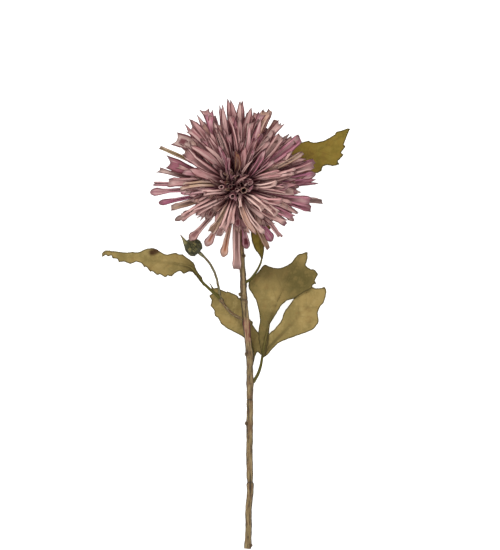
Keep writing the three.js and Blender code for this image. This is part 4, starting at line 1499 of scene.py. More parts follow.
    def heart_side_florets(self) -> list[Floret]:
        """Gives the placed florets near the heart, the tuft and the small curled florets.

        Returns:
            The florets.
        """
        draw = seeded_draws(self.seed + 9)
        middle = np.array([*self.centre[:2], 0.0])
        count, tuft_root, tuft_tip = self.tuft
        placed = list(self.near_heart)
        for i in range(count):
            share = i / (count - 1) - 0.5
            tip = (
                tuft_tip[0] + share * 12, tuft_tip[1] + 2.2 * math.cos(i * 2.1),
                tuft_tip[2] + 1.5 * math.sin(i * 1.7),
            )
            root = (tuft_root[0] + share * 5, *tuft_root[1:])
            placed.append((root, tip, 0.8, BLADE, (BLUSH, TAN, ROSE)[i % 3]))
        dyes = (ROSE, MAUVE, BLUSH, MAUVE, BRONZE)
        for i in range(self.curled_count):
            azimuth = i * GOLDEN_ANGLE
            out = leaning(math.pi / 2, azimuth) * lerp(4.5, 7.0, draw())
            root = tuple(out + (0, 0, lerp(38, 44, draw())))
            away = leaning(math.pi / 2, azimuth + lerp(-1.0, 1.0, draw())) * lerp(4.5, 9.5, draw())
            tip = tuple(out + away + (0, 0, lerp(50, 58, draw())))
            form = (POINTED, BLUNT, QUILL)[i % 3]
            placed.append((root, tip, lerp(0.8, 1.5, draw()), form, dyes[i % 5]))
        made = []
        for root, tip, half_width, form, dye in placed:
            start, end = middle + np.array(root), middle + np.array(tip)
            bow = (start + end) / 2 + np.array([0, 0, 3.0])
            azimuth = math.atan2(*(end - start)[1::-1])
            # Tubes are wine nearly to their rims, painted shade inside them.
            made.append(Floret(
                start, bow, end, azimuth, half_width, form, dye.tone(),
                wine_until=0.92 if form is TUBE else 0.24, slit=0.0,
            ))
        return made

    def ring(self, name: str, florets: Sequence[Floret], loose: float) -> Object:
        """Makes a ring of florets from copies of one sheet.

        Args:
            name: Name of the piece.
            florets: The florets.
            loose: How far a floret may sway to a side, in millimetres.

        Returns:
            The piece, with a wall and soft creases.
        """
        draw = seeded_draws(len(florets) * 31 + 5)
        blank = flat_sheet("floret_blank", self.columns, len(self.rows) - 1)
        sheet = places(blank)
        across = sheet[:, 0] * 2 - 1
        along = np.array(self.rows)[np.rint(sheet[:, 1] * (len(self.rows) - 1)).astype(int)]
        store_uv(blank, sheet[:, 0], along)
        copies = []
        for floret in florets:
            copy = blank.copy()
            copy.data = blank.data.copy()
            bpy.context.collection.objects.link(copy)
            tube = floret.form is TUBE
            floret.sway = lerp(-loose, loose, draw()) * (not tube)
            floret.phase = draw() * math.tau
            floret.flat = 1.0 if tube else lerp(0.5, 0.8, draw())
            points, bend = floret.lay(across, along)
            move_to(copy, points)
            # A tube shows its rim and not its folds, and the upper side has broader dark folds. The dark
            # folds are painted shade.
            folds = bend * 0.5 if tube else bend + 0.12 * self.upper(floret.azimuth) - 0.02
            own = {
                "bend": folds, "pick": draw(),
                "spot": floret.spot, "ember": floret.ember, "root": floret.wine_until,
                "slit": floret.slit * (not tube and not floret.turned),
                "deep": self.depth_under(points), "tipped": float(not tube),
            }
            for name_of, value in own.items():
                store(copy, name_of, value)
            layer = copy.data.attributes.new("dye", "FLOAT_COLOR", "POINT")
            colour = np.tile(np.append(np.clip(floret.dye, 0, 1), 1.0), len(across)).astype(np.float32)
            layer.data.foreach_set("color", colour)
            copies.append(copy)
        bpy.data.objects.remove(blank, do_unlink=True)
        piece = joined(copies, name)
        crumple(piece, grain=3.5 * MM, depth=1.0 * MM)
        thicken(piece, self.wall * MM)
        soften(piece, degrees=50)
        return piece

    def build(self) -> None:
        """Builds and dresses the rings."""
        dome = self.inner_florets()
        # Name of each ring, its florets, and how far they may sway.
        rings = (
            ("rim_florets", self.rim_florets(), 1.2),
            ("outer_florets", dome[:self.outer_count], 3.0),
            ("inner_florets", [*dome[self.outer_count:], *self.heart_side_florets()], 2.6),
            ("cover_florets", self.cover_florets(), 2.8),
            ("filler_florets", self.filler_florets(), 1.6),
        )
        finish = self.finish.build()
        for name, florets, loose in rings:
            dress(self.ring(name, florets, loose), finish, "ray_floret", "ray_florets")


@dataclass
class Heart:
    """Short dark tubes that stand on a low button in the middle of the bloom."""

    finish: HeartCloth = HeartCloth()
    centre: Flat = (8.0, 103.0)
    bottom: float = 35.8
    radius: float = 5.6
    count: int = 9
    height: float = 14.0
    tube: float = 1.25
    wall: float = 0.35
    dome_height: float = 2.6
    seed: int = 305

    def tube_piece(self, number: int, draw: Draw) -> Object:
        """Makes one open tube that widens at its mouth.

        Args:
            number: Its place in the spiral.
            draw: Seeded draws.

        Returns:
            The tube as a rolled sheet.
        """
        share = math.sqrt((number + 0.5) / self.count)
        out = leaning(math.pi / 2, number * GOLDEN_ANGLE)
        length = self.height * lerp(0.8, 1, draw()) * lerp(0.75, 1, share)
        foot = np.array([*self.centre, self.bottom + 1]) + out * share * self.radius * 0.78
        head = foot + out * share * 2.4
        head[2] = self.bottom + length
        obj = flat_sheet(f"heart_tube_{number}", columns=10, rows=6)
        sheet = places(obj)
        angle, along = sheet[:, 0] * math.tau, sheet[:, 1]
        radius = self.tube * (0.7 + 0.2 * along + 0.3 * smooth(along, 0.75, 1.0))
        radius = radius * (1 + 0.14 * np.cos(angle * 5 + number) * along)
        tilt = 0.5 * np.cos(angle + number * 2) * smooth(along, 0.7, 1.0)
        ring = np.column_stack([np.cos(angle) * radius, np.sin(angle) * radius, tilt])
        move_to(obj, (foot + (head - foot) * along[:, None] + ring) * MM)
        return sewn(obj, closed=False)

    def button(self) -> Object:
        """Makes the low domed button that carries the tubes.

        Returns:
            The button, cut flat below.
        """
        bpy.ops.object.select_all(action="DESELECT")
        place = (self.centre[0] * MM, self.centre[1] * MM, (self.bottom + 0.2) * MM)
        bpy.ops.mesh.primitive_uv_sphere_add(
            segments=24, ring_count=12, radius=self.radius * MM, location=place
        )
        dome = bpy.context.object
        dome.scale.z = self.dome_height / self.radius
        bpy.ops.object.transform_apply()
        bpy.ops.object.mode_set(mode="EDIT")
        bpy.ops.mesh.select_all(action="SELECT")
        bpy.ops.mesh.bisect(plane_co=place, plane_no=(0, 0, 1), clear_inner=True, use_fill=True)
        bpy.ops.object.mode_set(mode="OBJECT")
        points = places(dome)
        store_uv(dome, np.zeros(len(points)), np.zeros(len(points)))
        dome.name = "heart_button"
        return dome

    def build(self) -> None:
        """Builds and dresses the heart."""
        draw = seeded_draws(self.seed)
        tubes = joined([self.tube_piece(i, draw) for i in range(self.count)], "heart_tubes")
        thicken(tubes, self.wall * MM)
        heart = joined([tubes, self.button()], "heart_of_tubes")
        soften(heart, degrees=50)
        dress(heart, self.finish.build(), "heart", "heart_florets")


# Bud and cup

SCALE_WALL = 0.45


def pointed_scale(
    name: str, line: Sequence[Array], side: Array, half_width: float, cup: float, red: float,
    widths: Sequence[float] = (0.7, 1, 0.74, 0.34, 0.04),
) -> Object:
    """Makes one pointed scale as a sheet over a curved line.

    Args:
        name: Name of the object.
        line: Root, control point and tip in millimetres.
        side: Direction across the scale.
        half_width: Half of its greatest width.
        cup: How far its sides bend in, in millimetres.
        red: How brown-red its tip is.
        widths: Share of the half width at 0, 0.35, 0.7, 0.9 and all of the length.

    Returns:
        The sheet.
    """
    root, middle, tip = (np.asarray(p, float) for p in line)
    obj = flat_sheet(name, columns=6, rows=9)
    sheet = places(obj)
    across, along = sheet[:, 0] * 2 - 1, sheet[:, 1]
    spine, _, sides, lift = bow_frame(root, middle, tip, along, side)
    half = half_width * np.interp(along, [0, 0.35, 0.7, 0.9, 1], widths)
    bend = -cup * across**2 * half / half_width + 0.2 * np.exp(-((across / 0.22) ** 2)) * (1 - along)
    move_to(obj, (spine + sides * (across * half)[:, None] + lift * bend[:, None]) * MM)
    store(obj, "red", red)
    return obj


@dataclass
class Bud:
    """Closed bud: a globe wrapped in rows of overlapping scales, with one long pointed sepal."""

    finish: BractPlastic = BractPlastic(
        "dull_green_moulded_bud", green="7F7747", deep="3A3A20", tip="64482F"
    )
    centre: Point = (-24.6, 57.6, 9.3)
    axis: Point = (-0.72, 0.69, 0.02)
    radius: float = 6.0
    length: float = 13.4
    sepal: Sequence[Point] = ((-28.0, 56.4, 14.2), (-30.4, 61.4, 15.4), (-34.3, 66.8, 11.5))
    sepal_half_width: float = 2.6
    sepal_widths: Sequence[float] = (0.9, 0.78, 0.3, 0.14, 0.03)
    # Rows of scales: count, and height of root and tip on the globe from -1 to 1.
    rows: Sequence[tuple[int, float, float]] = (
        (7, -0.8, 0.15), (7, -0.45, 0.55), (6, -0.05, 0.84), (5, 0.3, 1.0),
    )
    # Height on the globe from -1 to 1 and share of the radius there.
    profile: Sequence[Flat] = (
        (-1, 0), (-0.93, 0.45), (-0.55, 0.86), (-0.05, 1), (0.5, 0.88), (0.86, 0.5), (1, 0.05),
    )
    seed: int = 77

    def outline(self, height: Array | float) -> Array:
        """Gives the radius of the globe over its height from -1 to 1, as a share."""
        return np.interp(height, *np.transpose(self.profile))

    def globe(self, across: Array, third: Array, axis: Array) -> Object:
        """Makes the globe under the scales.

        Args:
            across: Direction across the bud in plan.
            third: Direction across both the bud and that.
            axis: Direction from the branch to the bud's end.

        Returns:
            The closed globe.
        """
        globe = flat_sheet("bud_globe", columns=24, rows=16)
        sheet = places(globe)
        angle, height = sheet[:, 0] * math.tau, sheet[:, 1] * 2 - 1
        radius = self.outline(height) * self.radius * 0.9
        ring = across * np.cos(angle)[:, None] + third * np.sin(angle)[:, None]
        middle = np.array(self.centre)
        move_to(globe, (middle + ring * radius[:, None] + axis * (height * self.length * 0.48)[:, None]) * MM)
        store(globe, "red", smooth(height, 0.3, 0.9))
        return sewn(globe)

    def build(self) -> None:
        """Builds and dresses the bud."""
        centre, axis = np.array(self.centre), unit(np.array(self.axis))
        across = unit(np.cross(axis, [0, 0, 1.0]))
        third = np.cross(axis, across)
        half = self.length / 2
        draw = seeded_draws(self.seed)
        scales = []
        for row, (count, low, high) in enumerate(self.rows):
            for i in range(count):
                turn = (i + row * 0.5 + lerp(-0.12, 0.12, draw())) / count * math.tau
                out = across * math.cos(turn) + third * math.sin(turn)
                line = [
                    centre + out * float(self.outline(at)) * self.radius * grow + axis * at * half
                    for at, grow in ((low, 0.84), ((low + high) / 2, 1.16 - row * 0.02), (high, 0.97))
                ]
                scales.append(pointed_scale(
                    f"bud_scale_{row}_{i}", line, side=np.cross(axis, out), half_width=2.7 - row * 0.15,
                    cup=0.7, red=lerp(0.1, 0.95, row / 3),
                ))
        run = np.subtract(self.sepal[2], self.sepal[0])
        scales.append(pointed_scale(
            "bud_sepal", self.sepal, side=np.cross([0, 0, 1.0], run), half_width=self.sepal_half_width,
            cup=1.4, red=0.6, widths=self.sepal_widths,
        ))
        wrap = joined(scales, "bud_scales")
        thicken(wrap, SCALE_WALL * MM)
        bud = joined([self.globe(across, third, axis), wrap], "bud_with_scales")
        soften(bud, degrees=50)
        dress(bud, self.finish.build(), "bud", "bud")


@dataclass
class Calyx:
    """Green cup of bracts under the bloom."""

    finish: BractPlastic = BractPlastic("olive_moulded_cup", green="656A3A", deep="454D24", tip="6B5636")
    centre: Flat = (8.0, 103.0)
    bottom: float = 15.9
    top: float = 22.3
    radius: float = 9.0
    neck: float = 3.0
    bracts: int = 12
    bract_length: float = 7.5
    # Share of the cup's radius and height, from the neck to the middle of its top.
    profile: Sequence[Flat] = (
        (0.02, 0), (0.2, 0), (0.33, 0), (0.52, 0.14), (0.7, 0.28), (0.88, 0.52), (1.0, 0.75), (1.0, 1.0),
        (0.02, 1.0),
    )

    def at(self, azimuth: float, reach: float, height: float) -> Array:
        """Gives the point at a reach and height on one side of the cup."""
        return np.array([*self.centre, height]) + leaning(math.pi / 2, azimuth) * reach

    def cup(self) -> Object:
        """Makes the closed cup.

        Returns:
            The cup, scalloped a little under its bracts.
        """
        cup = flat_sheet("cup", columns=32, rows=len(self.profile) - 1)
        sheet = places(cup)
        angle = sheet[:, 0] * math.tau
        profile = np.array(self.profile)[np.rint(sheet[:, 1] * (len(self.profile) - 1)).astype(int)]
        reach = profile[:, 0] * self.radius * (1 + 0.03 * np.cos(angle * self.bracts))
        height = self.bottom + profile[:, 1] * (self.top - self.bottom)
        x, y = self.centre
        move_to(cup, np.column_stack([x + np.cos(angle) * reach, y + np.sin(angle) * reach, height]) * MM)
        store(cup, "red", 0.0)
        return sewn(cup)

    def build(self) -> None:
        """Builds and dresses the cup."""
        scales = []
        for i in range(self.bracts * 2):
            azimuth = i / (self.bracts * 2) * math.tau
            drop = 0.0 if i % 2 else 0.9
            line = [
                self.at(azimuth, self.radius * 0.5, self.bottom + 1.5 - drop * 0.5),
                self.at(azimuth, self.radius + 1, self.bottom + 1.7 - drop * 0.4),
                self.at(azimuth, self.radius + self.bract_length * 0.62, self.top - 2.4 - drop),
            ]
            side = np.array([-math.sin(azimuth), math.cos(azimuth), 0])
            scales.append(pointed_scale(f"bract_{i}", line, side, half_width=1.8, cup=0.4, red=0.3))
        wrap = joined(scales, "bracts")
        thicken(wrap, SCALE_WALL * MM)
        calyx = joined([self.cup(), wrap], "cup_of_bracts")
        soften(calyx, degrees=50)
        dress(calyx, self.finish.build(), "calyx", "calyx")


# The leaves


class LeafCloth(Enum):
    """Cloth of a leaf, by its material slot in the record."""

    KHAKI = "leaf"
    BRONZE = "leaf_green"


def patch(points: Array, x: float, y: float, size: float) -> Array:
    """Gives how far points lie in a round patch, from 1 in its middle to 0 far off."""
    return bump(np.hypot(points[:, 0] - x, points[:, 1] - y), 1.0, size)


@dataclass
class Blade:
    """One part of a leaf blade: outline, lift, rib, how dark it is, and light and dark patches."""

    outline: Sequence[Flat]
    lift: float = 0.0
    rib: Sequence[Flat] = ()
    shade: float = 0.15
    # Patches as x, y and size.
    light: Sequence[Point] = ()
    dark: Sequence[Point] = ()


@dataclass
class Leaf:
    """A waved leaf cut to an outline, with its stalk.

    Share u runs from 0 at the base to 1 at the tip, and v is the distance to the left of the bowed line
    between them.
    """

    name: str
    node: str
    cloth: LeafCloth
    base: Flat
    tip: Flat
    bow: float
    # Heights over the table at the base, in the middle and at the tip.
    heights: Point
    # Rise to both sides of the bowed line, and rise to its left, for each millimetre.
    fold: float
    tilt: float
    # Swing, number of turns and phase of the ripple along the leaf.
    wave: Point
    blades: Sequence[Blade]
    # The stalk runs from its joint on the stem through the petiole's points to the midrib.
    joint: Sequence[Point]
    petiole: Sequence[Point]
    petiole_radius: float
    midrib: Sequence[Flat]
    # Brown spots as x, y, size and strength.
    spots: Sequence[tuple[float, float, float, float]] = ()
    base_shade: float = 0.35
    cell: float = 1.8
    wall: float = 0.45
    ruffle: float = 0.5
    ragged: float = 0.2

    def height(self, x: Array, y: Array, lift: float = 0.0) -> Array:
        """Gives the height of the blade's surface at points in plan.

        Args:
            x: Places along X.
            y: Places along Y.
            lift: Height of this part of the blade over the leaf's own surface.

        Returns:
            Heights over the table.
        """
        dx, dy = x - self.base[0], y - self.base[1]
        run = (self.tip[0] - self.base[0], self.tip[1] - self.base[1])
        length = math.hypot(*run)
        ax, ay = run[0] / length, run[1] / length
        u = (dx * ax + dy * ay) / length
        v = dy * ax - dx * ay - self.bow * 4 * u * (1 - u)
        at_base, at_middle, at_tip = self.heights
        along = at_base * (1 - u) * (1 - 2 * u) + at_middle * 4 * u * (1 - u) + at_tip * u * (2 * u - 1)
        swing, turns, phase = self.wave
        ripple = swing * np.sin(math.tau * (turns * u + phase)) * np.minimum(1, np.abs(v) / 12) * np.sign(v)
        return along + self.fold * (np.sqrt(v * v + 4) - 2) + self.tilt * v + ripple + lift

    def rounded(self, outline: Sequence[Flat]) -> Array:
        """Runs a smooth, slightly ragged line through an outline's points.

        Args:
            outline: Points in plan.

        Returns:
            Four times as many points.
        """
        p = np.array(outline, float)
        draw = seeded_draws(len(outline) * 97 + 13)
        before, after, later = np.roll(p, 1, 0), np.roll(p, -1, 0), np.roll(p, -2, 0)
        points = []
        for i in range(len(p)):
            reach = np.linalg.norm(after[i] - p[i])
            slopes = ((after[i] - before[i]) * 0.32, (later[i] - p[i]) * 0.32)
            m0, m1 = (m * min(1.0, reach / (np.linalg.norm(m) + 1e-9)) for m in slopes)
            for t in (0, 0.25, 0.5, 0.75):
                point = (
                    (2 * t**3 - 3 * t**2 + 1) * p[i] + (t**3 - 2 * t**2 + t) * m0
                    + (3 * t**2 - 2 * t**3) * after[i] + (t**3 - t**2) * m1
                )
                ragged = self.ragged if t else 0.0
                points.append(point + np.array([draw() - 0.5, draw() - 0.5]) * 2 * ragged)
        return np.array(points)

    def cut_out(self, line: Array, number: int) -> Object:
        """Cuts a flat sheet to a closed line and divides it into small squares.

        Args:
            line: Points of the line in plan.
            number: Number for its name.

        Returns:
            The flat sheet.
        """
        bpy.ops.object.select_all(action="DESELECT")
        bpy.ops.mesh.primitive_circle_add(vertices=len(line), radius=1, fill_type="NGON")
        obj = bpy.context.object
        obj.name = f"{self.name}_{number}"
        move_to(obj, np.column_stack([line * MM, np.zeros(len(line))]))
        bpy.ops.object.mode_set(mode="EDIT")
        bpy.ops.mesh.select_all(action="SELECT")
        bpy.ops.mesh.quads_convert_to_tris(ngon_method="BEAUTY")
        low, high = line.min(0), line.max(0)
        for axis, normal in enumerate(((1.0, 0.0, 0.0), (0.0, 1.0, 0.0))):
            for place in np.arange(low[axis] + self.cell / 2, high[axis], self.cell):
                bpy.ops.mesh.select_all(action="SELECT")
                bpy.ops.mesh.bisect(plane_co=tuple(np.array(normal) * place * MM), plane_no=normal)
        bpy.ops.mesh.select_all(action="SELECT")
        bpy.ops.mesh.remove_doubles(threshold=0.02 * MM)
        bpy.ops.mesh.normals_make_consistent(inside=False)
        bpy.ops.object.mode_set(mode="OBJECT")
        return obj

    def sheet(self, blade: Blade, number: int) -> Object:
        """Makes a blade's sheet: cut out, waved, with pressed veins, spots and shades.

        Args:
            blade: The part of the blade.
            number: Number for its name.

        Returns:
            The sheet.
        """
        line = self.rounded(blade.outline)
        obj = self.cut_out(line, number)
        points = places(obj)[:, :2] / MM
        along, across = beside_line(np.array(blade.rib or self.midrib, float), points)
        rim = np.abs(beside_line(np.vstack([line, line[:1]]), points)[1])
        waves = np.sin(along * 0.41 + across * 0.15) + 0.6 * np.sin(along * 0.8 + 2)
        ruffle = self.ruffle * np.exp(-rim / 4.0) * waves
        away = np.abs(across)
        pressed = 0.25 * np.cos((along - VEIN_SLANT * away) / VEIN_SPACING * math.tau) * smooth(away, 0, 6)
        groove = -bump(across, 0.4, 1.1)
        z = self.height(points[:, 0], points[:, 1], blade.lift) + ruffle + pressed + groove
        move_to(obj, np.column_stack([points, z]) * MM)
        store_uv(obj, along * MM, across * MM)
        store(obj, "rim", rim * MM)
        none = np.zeros(len(points))
        stains = [np.clip(2.2 * patch(points, *spot[:3]), 0, 1) * spot[3] for spot in self.spots]
        store(obj, "spot", np.maximum.reduce([none, *stains]))
        store(obj, "stalk", 0.0)
        light, dark = (
            np.clip(sum((patch(points, *place) for place in marked), none), 0, 1)
            for marked in (blade.light, blade.dark)
        )
        from_base = np.hypot(points[:, 0] - self.base[0], points[:, 1] - self.base[1])
        near_base = self.base_shade * (1 - smooth(from_base, 6, 22))
        store(obj, "shade", np.clip(blade.shade * (1 - light) + 0.2 * dark + near_base, 0, 1))
        if obj.data.polygons[0].normal.z < 0:
            obj.data.flip_normals()
        return obj

    def stalk(self) -> Object:
        """Makes the stalk and the rib that runs on from it along the blade.

        Returns:
            The closed stalk.
        """
        lift = self.blades[0].lift
        rib = np.array(self.midrib, float)
        heights = self.height(rib[:, 0], rib[:, 1], lift) - 0.25
        line = [*self.joint, *self.petiole, *np.column_stack([rib, heights]).tolist()]

        def radius_at(share: Array, angle: Array, centre: Array) -> Array:
            """Gives the stalk's radius, which tapers from a thicker foot."""
            taper = self.petiole_radius + (0.25 - self.petiole_radius) * smooth(share, 0.02, 0.7)
            return taper + bump(share, 0.3, 0.03) + 0.05 * np.cos(angle * 4)

        obj = shoot(f"{self.name}_stalk", line, steps=80, sides=10, radius_at=radius_at)
        along = beside_line(np.array(line)[:, :2], places(obj)[:, :2] / MM)[0]
        share = along / along.max()
        # The stalk is printed like a place far from the veins and from the edge.
        store_uv(obj, along * MM, np.full(len(along), 20 * MM))
        store(obj, "rim", 10 * MM)
        store(obj, "spot", 0.0)
        store(obj, "stalk", 1 - 0.95 * smooth(share, 0.25, 0.6))
        store(obj, "shade", self.blades[0].shade * smooth(share, 0.3, 0.5))
        return obj

    def build(self, finish: Material) -> None:
        """Builds and dresses the leaf.

        Args:
            finish: Its material.
        """
        sheets = joined([self.sheet(blade, i) for i, blade in enumerate(self.blades)], f"{self.name}_blades")
        crumple(sheets, grain=9 * MM, depth=0.7 * MM)
        thicken(sheets, self.wall * MM)
        leaf = joined([sheets, self.stalk()], self.name)
        soften(leaf, degrees=50)
        dress(leaf, finish, self.cloth.value, self.node)


# The five leaves, which main() dresses in their cloth.
LEAVES: Sequence[Leaf] = (
    Leaf(
        name="long_left_leaf", node="leaf_left", cloth=LeafCloth.KHAKI,
        base=(-18, 31), tip=(-93.5, 51), bow=-5, heights=(9.5, 14, 3.6), fold=-0.34, tilt=-0.12,
        wave=(1.6, 1.6, 0.1), petiole_radius=1.15,
        spots=(
            (-55.6, 53.4, 1.9, 1.0), (-53.4, 54.2, 2.0, 1.0), (-51.4, 54.4, 1.4, 0.9), (-24, 43, 6, 0.2),
        ),
        joint=((-4.6, 19.2, 9.2),),
        petiole=((-6.8, 21.2, 9.3), (-9.8, 23.7, 9.4), (-14, 27.5, 9.4)),
        midrib=((-17.6, 31), (-21.6, 37), (-27, 42.5), (-38, 45), (-52, 46.6), (-68, 49.6)),
        blades=(Blade((
            (-16.2, 28), (-18, 34.5), (-20, 37), (-22.5, 41), (-24.5, 45.8), (-27, 48), (-30.5, 50.2),
            (-32.5, 52), (-35, 52), (-38, 53.2), (-43, 52), (-46, 52.2), (-48.5, 53.5), (-52.5, 56),
            (-56, 56.8), (-61.5, 55.5), (-66, 53.5), (-71, 53.8), (-75.5, 53.5), (-84.5, 54.5), (-90.5, 55),
            (-93.2, 53), (-93, 50), (-91, 51.5), (-88.5, 50.6), (-86.3, 51.2), (-85.2, 49), (-81.5, 48.4),
            (-80.5, 46.2), (-76, 46.4), (-72, 44.8), (-67.5, 46.5), (-63, 45), (-61.5, 42.4), (-60, 42.6),
            (-57, 39), (-55.5, 39.4), (-51.5, 36.4), (-49.5, 37), (-45.5, 34.8), (-43.5, 36.2), (-41, 35.4),
            (-38, 38), (-34.5, 39.4), (-31.5, 37.4), (-28, 39), (-25, 38.6), (-23.2, 36.4), (-19, 31),
        ), dark=((-27, 43, 7),)),),
        base_shade=0.5,
    ),
    Leaf(
        name="leaf_passing_under_stem", node="leaf_behind_stem", cloth=LeafCloth.KHAKI,
        base=(19.2, -30), tip=(-13, 31), bow=4, heights=(2.2, 1.5, 5.5), fold=0.05, tilt=0.0,
        wave=(0.5, 1.2, 0.2), petiole_radius=1.0, petiole=((19.1, -35.5, 3.3), (19.2, -32, 2.7)),
        joint=((18.4, -38.5, 4.6),),
        midrib=((19.4, -28), (19.8, -20), (17.5, -10), (11, 0), (3.5, 9), (-3.5, 17.5)),
        blades=(Blade((
            (18.2, -32), (20.2, -32), (21.5, -26), (23.5, -21.5), (26.4, -23.6), (28, -18), (26.2, -12),
            (24.5, -7), (20, -1), (20.2, 1), (17.5, 3.5), (16.8, 10), (14, 15.5), (10.5, 19.5), (9.8, 19),
            (7.5, 21.5), (3.5, 23.2), (1, 24.2), (0, 23.8), (-6.5, 26.8), (-9.3, 26.6), (-12.6, 31),
            (-10.6, 25), (-11.6, 24.5), (-10.6, 22.4), (-12.6, 20.8), (-10.9, 17), (-11.8, 13.3), (-9, 10),
            (-8.6, 5.8), (-6, 4), (-4, 0), (-2, -1.6), (1.5, -4.2), (5, -6), (13, -10.4), (15.8, -16),
            (17.2, -24),
        ), shade=0.0),),
        ruffle=0.2, base_shade=0.0,
    ),
    Leaf(
        name="big_lobed_right_leaf", node="leaf_right", cloth=LeafCloth.KHAKI,
        base=(27.5, -24), tip=(61, 53), bow=6, heights=(7.2, 5.8, 4.2), fold=-0.08, tilt=-0.05,
        wave=(1.3, 1.1, 0.55), petiole_radius=1.15,
        spots=(
            (31, 40, 6, 0.3), (42, 38, 5, 0.2), (28.6, -17, 1.3, 0.4), (29.8, -11, 1.3, 0.36),
            (31.2, -5, 1.3, 0.34), (32.8, 1, 1.3, 0.3), (34.6, 7, 1.3, 0.28), (36.6, 13, 1.3, 0.26),
            (39, 19, 1.4, 0.22), (42, 25, 1.5, 0.16),
        ),
        joint=((20.2, -44.2, 6.0),),
        petiole=((21.8, -41.8, 6.2), (24, -38, 6.6), (26, -32, 7.0)),
        midrib=((27.9, -21), (31.8, -2.9), (38.5, 16.5), (48, 35.4)),
        blades=(
            Blade((
                (27, -25), (29, -25), (31.5, -14), (32.4, -6.5), (33, -0.5), (38, 7.5), (42, 14),
                (46.5, 17.5), (51.5, 19), (57, 22.5), (64.8, 27), (65, 29), (68, 30.2), (66.8, 32.4),
                (69.2, 37), (66.5, 40.6), (63.5, 41), (60, 43.6), (61.2, 48.5), (61.2, 53.6), (58, 53),
                (53.5, 51.4), (50, 47), (46.5, 44), (41.5, 42), (35.5, 42), (29, 44.2), (26, 41), (21.5, 36),
                (17.6, 32), (17, 27), (20.5, 21), (23, 16), (25.2, 6.5), (25.2, 0), (24.2, -6.5),
                (25.2, -16.5),
            ), 0.9, shade=0.6, light=((33, 20, 11), (56, 50, 6)),
                dark=((52.5, 43, 6), (50, 30, 8), (60, 34, 7))),
            Blade((
                (27, -25), (30.5, -24), (34, -20), (39, -15), (46.5, -11.5), (55, -8.6), (64.5, -5),
                (68, -1.5), (69.6, 1.5), (69, 8), (71, 13), (73.6, 16), (75.6, 23.5), (74, 27.6),
                (71.5, 26.6), (68, 26.4), (63.5, 27.6), (58, 25.5), (52.5, 20.5), (48, 14.5), (44, 9),
                (41.5, 2.5), (37, -3.6), (32.4, -7.6), (29.5, -12),
            ), -0.5, rib=((28, -23), (38, -12), (50, 0), (60, 11), (70, 22)), shade=0.0),
        ),
        base_shade=0.12,
    ),
    Leaf(
        name="narrow_leaf_under_bloom", node="leaf_under_bloom", cloth=LeafCloth.BRONZE,
        base=(27, 50), tip=(36, 96), bow=0, heights=(7.2, 6.2, 3.0), fold=0.18, tilt=0.1,
        wave=(0.6, 1.4, 0), petiole_radius=1.0,
        joint=((13.6, 30.2, 8.2),),
        petiole=((15.55, 31.5, 8.5), (18.5, 33.5, 8.8), (23, 39.5, 8.4), (26, 45.5, 7.6)),
        midrib=((27, 51), (26.2, 60), (26.2, 69), (29, 79), (32.5, 87)),
        blades=(Blade((
            (26.4, 49), (27.6, 49), (28.6, 56), (29.2, 64), (31.6, 69), (34.6, 73.5), (34.2, 76), (37, 80.5),
            (37.6, 84), (39.4, 87), (37.8, 92), (36.2, 96.5), (33, 92.6), (31.6, 93), (29.4, 87.5), (27, 86),
            (25.6, 80.6), (23.2, 78), (21.6, 73), (18.8, 69.4), (19.4, 62), (22.2, 55.2), (24.8, 51.8),
        ), shade=0.0),),
        base_shade=0.0,
    ),
    Leaf(
        name="toothed_upper_right_leaf", node="leaf_upper_right", cloth=LeafCloth.BRONZE,
        base=(30, 112), tip=(93, 146.5), bow=-3, heights=(4.6, 3.4, 7.5), fold=-0.06, tilt=0.05,
        wave=(0.9, 1.3, 0.3), petiole_radius=1.2,
        joint=((9.0, 96.0, 9.2),),
        petiole=((10.8, 97.6, 9.3), (16, 101.5, 8.6), (24, 108.5, 6.2)),
        midrib=((32.5, 113.2), (46.5, 119), (63, 126.8), (78, 135.5)),
        blades=(Blade((
            (29.2, 111.6), (31, 111), (38, 110.6), (44, 108.8), (50, 108.2), (56, 110.4), (61, 109.8),
            (66.5, 112.5), (68, 113.2), (71.6, 114.8), (72.6, 117.6), (75, 119.2), (77.5, 119.2),
            (80, 118.5), (83, 119), (85.4, 120), (84.2, 122.2), (86, 124.2), (88.4, 127), (86.6, 128.7),
            (89.8, 133), (88.6, 134.6), (89.6, 137.6), (91.5, 142.5), (93.4, 146.4), (90.5, 146.6),
            (86.5, 145), (83, 144.2), (81.5, 142), (76.5, 139.2), (73.5, 137.5), (68, 136.3), (63.5, 136.7),
            (62, 137.8), (58, 136.5), (53, 136.8), (49, 133), (44.5, 131), (41, 125.4), (36.5, 121),
            (33, 115.5),
        )),),
    ),
)


# Table, light and camera


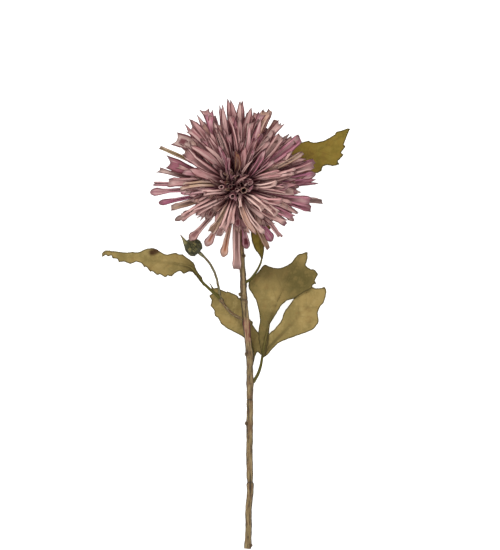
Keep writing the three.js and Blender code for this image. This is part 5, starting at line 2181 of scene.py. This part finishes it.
@dataclass
class Studio:
    """Pale table, soft light from all round with a gentle key, and a camera straight above."""

    # Middle and height of the picture in millimetres at the flower, the camera's height and the flower's
    # in metres, and the sensor's width in millimetres.
    view_middle: Flat = (18.0, 36.5)
    view_height: float = 412.5
    camera_height: float = 3.0
    focus_height: float = 0.015
    sensor: float = 36.0
    room_light: float = 0.98
    room_colour: str = "FFFEFD"
    # Power of the key light in watts, its place, aim and size, and the table's size and drop in metres.
    key_power: float = 12.0
    key_place: Point = (-0.8, 1.0, 1.4)
    key_aim: Point = (0.01, 0.06, 0.02)
    key_size: float = 0.6
    table_size: float = 6.0
    table_drop: float = 0.0003

    def build(self) -> None:
        """Builds the table, the lights and the camera."""
        bpy.ops.object.select_all(action="DESELECT")
        bpy.ops.mesh.primitive_plane_add(size=self.table_size, location=(0, 0, -self.table_drop))
        table = bpy.context.object
        bpy.ops.object.transform_apply()
        table.name = "pale_table"
        table.data.materials.append(OpalAcrylic().build())
        world = bpy.data.worlds.new("soft_room_light")
        bpy.context.scene.world = world
        world.use_nodes = True
        background = world.node_tree.nodes["Background"]
        background.inputs[0].default_value = linear(self.room_colour)
        background.inputs[1].default_value = self.room_light
        bpy.ops.object.light_add(type="AREA", location=self.key_place)
        key = bpy.context.object
        key.name = "soft_key"
        key.data.energy = self.key_power
        key.data.size = self.key_size
        aim = Vector(self.key_aim) - key.location
        key.rotation_euler = aim.to_track_quat("-Z", "Y").to_euler()
        bpy.ops.object.camera_add(
            location=(self.view_middle[0] * MM, self.view_middle[1] * MM, self.camera_height),
            rotation=(0, 0, 0),
        )
        camera = bpy.context.object
        camera.data.sensor_width = self.sensor
        camera.data.lens = self.sensor * (self.camera_height - self.focus_height) / (self.view_height * MM)
        bpy.context.scene.camera = camera
        bpy.context.scene.view_settings.view_transform = "Standard"


def main() -> None:
    """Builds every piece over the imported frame."""
    logging.basicConfig(level=logging.INFO, format="%(message)s")
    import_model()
    Studio().build()
    for part in (Stem(), SideBranch(), Bud(), Calyx(), Heart(), Bloom()):
        part.build()
    cloths = {
        LeafCloth.KHAKI: PrintedLeafCloth(
            "khaki_printed_leaf_cloth", base="9A8450", olive="857444", pale="AA9460", brown="7E6136",
            dark="474019", edge="3E3618",
        ).build(),
        LeafCloth.BRONZE: PrintedLeafCloth(
            "bronze_olive_printed_leaf_cloth", base="8C742F", olive="7C6B28", pale="97853C", brown="755927",
            dark="51481A", edge="3C3516",
        ).build(),
    }
    for leaf in LEAVES:
        leaf.build(cloths[leaf.cloth])


if __name__ == "__main__":
    main()
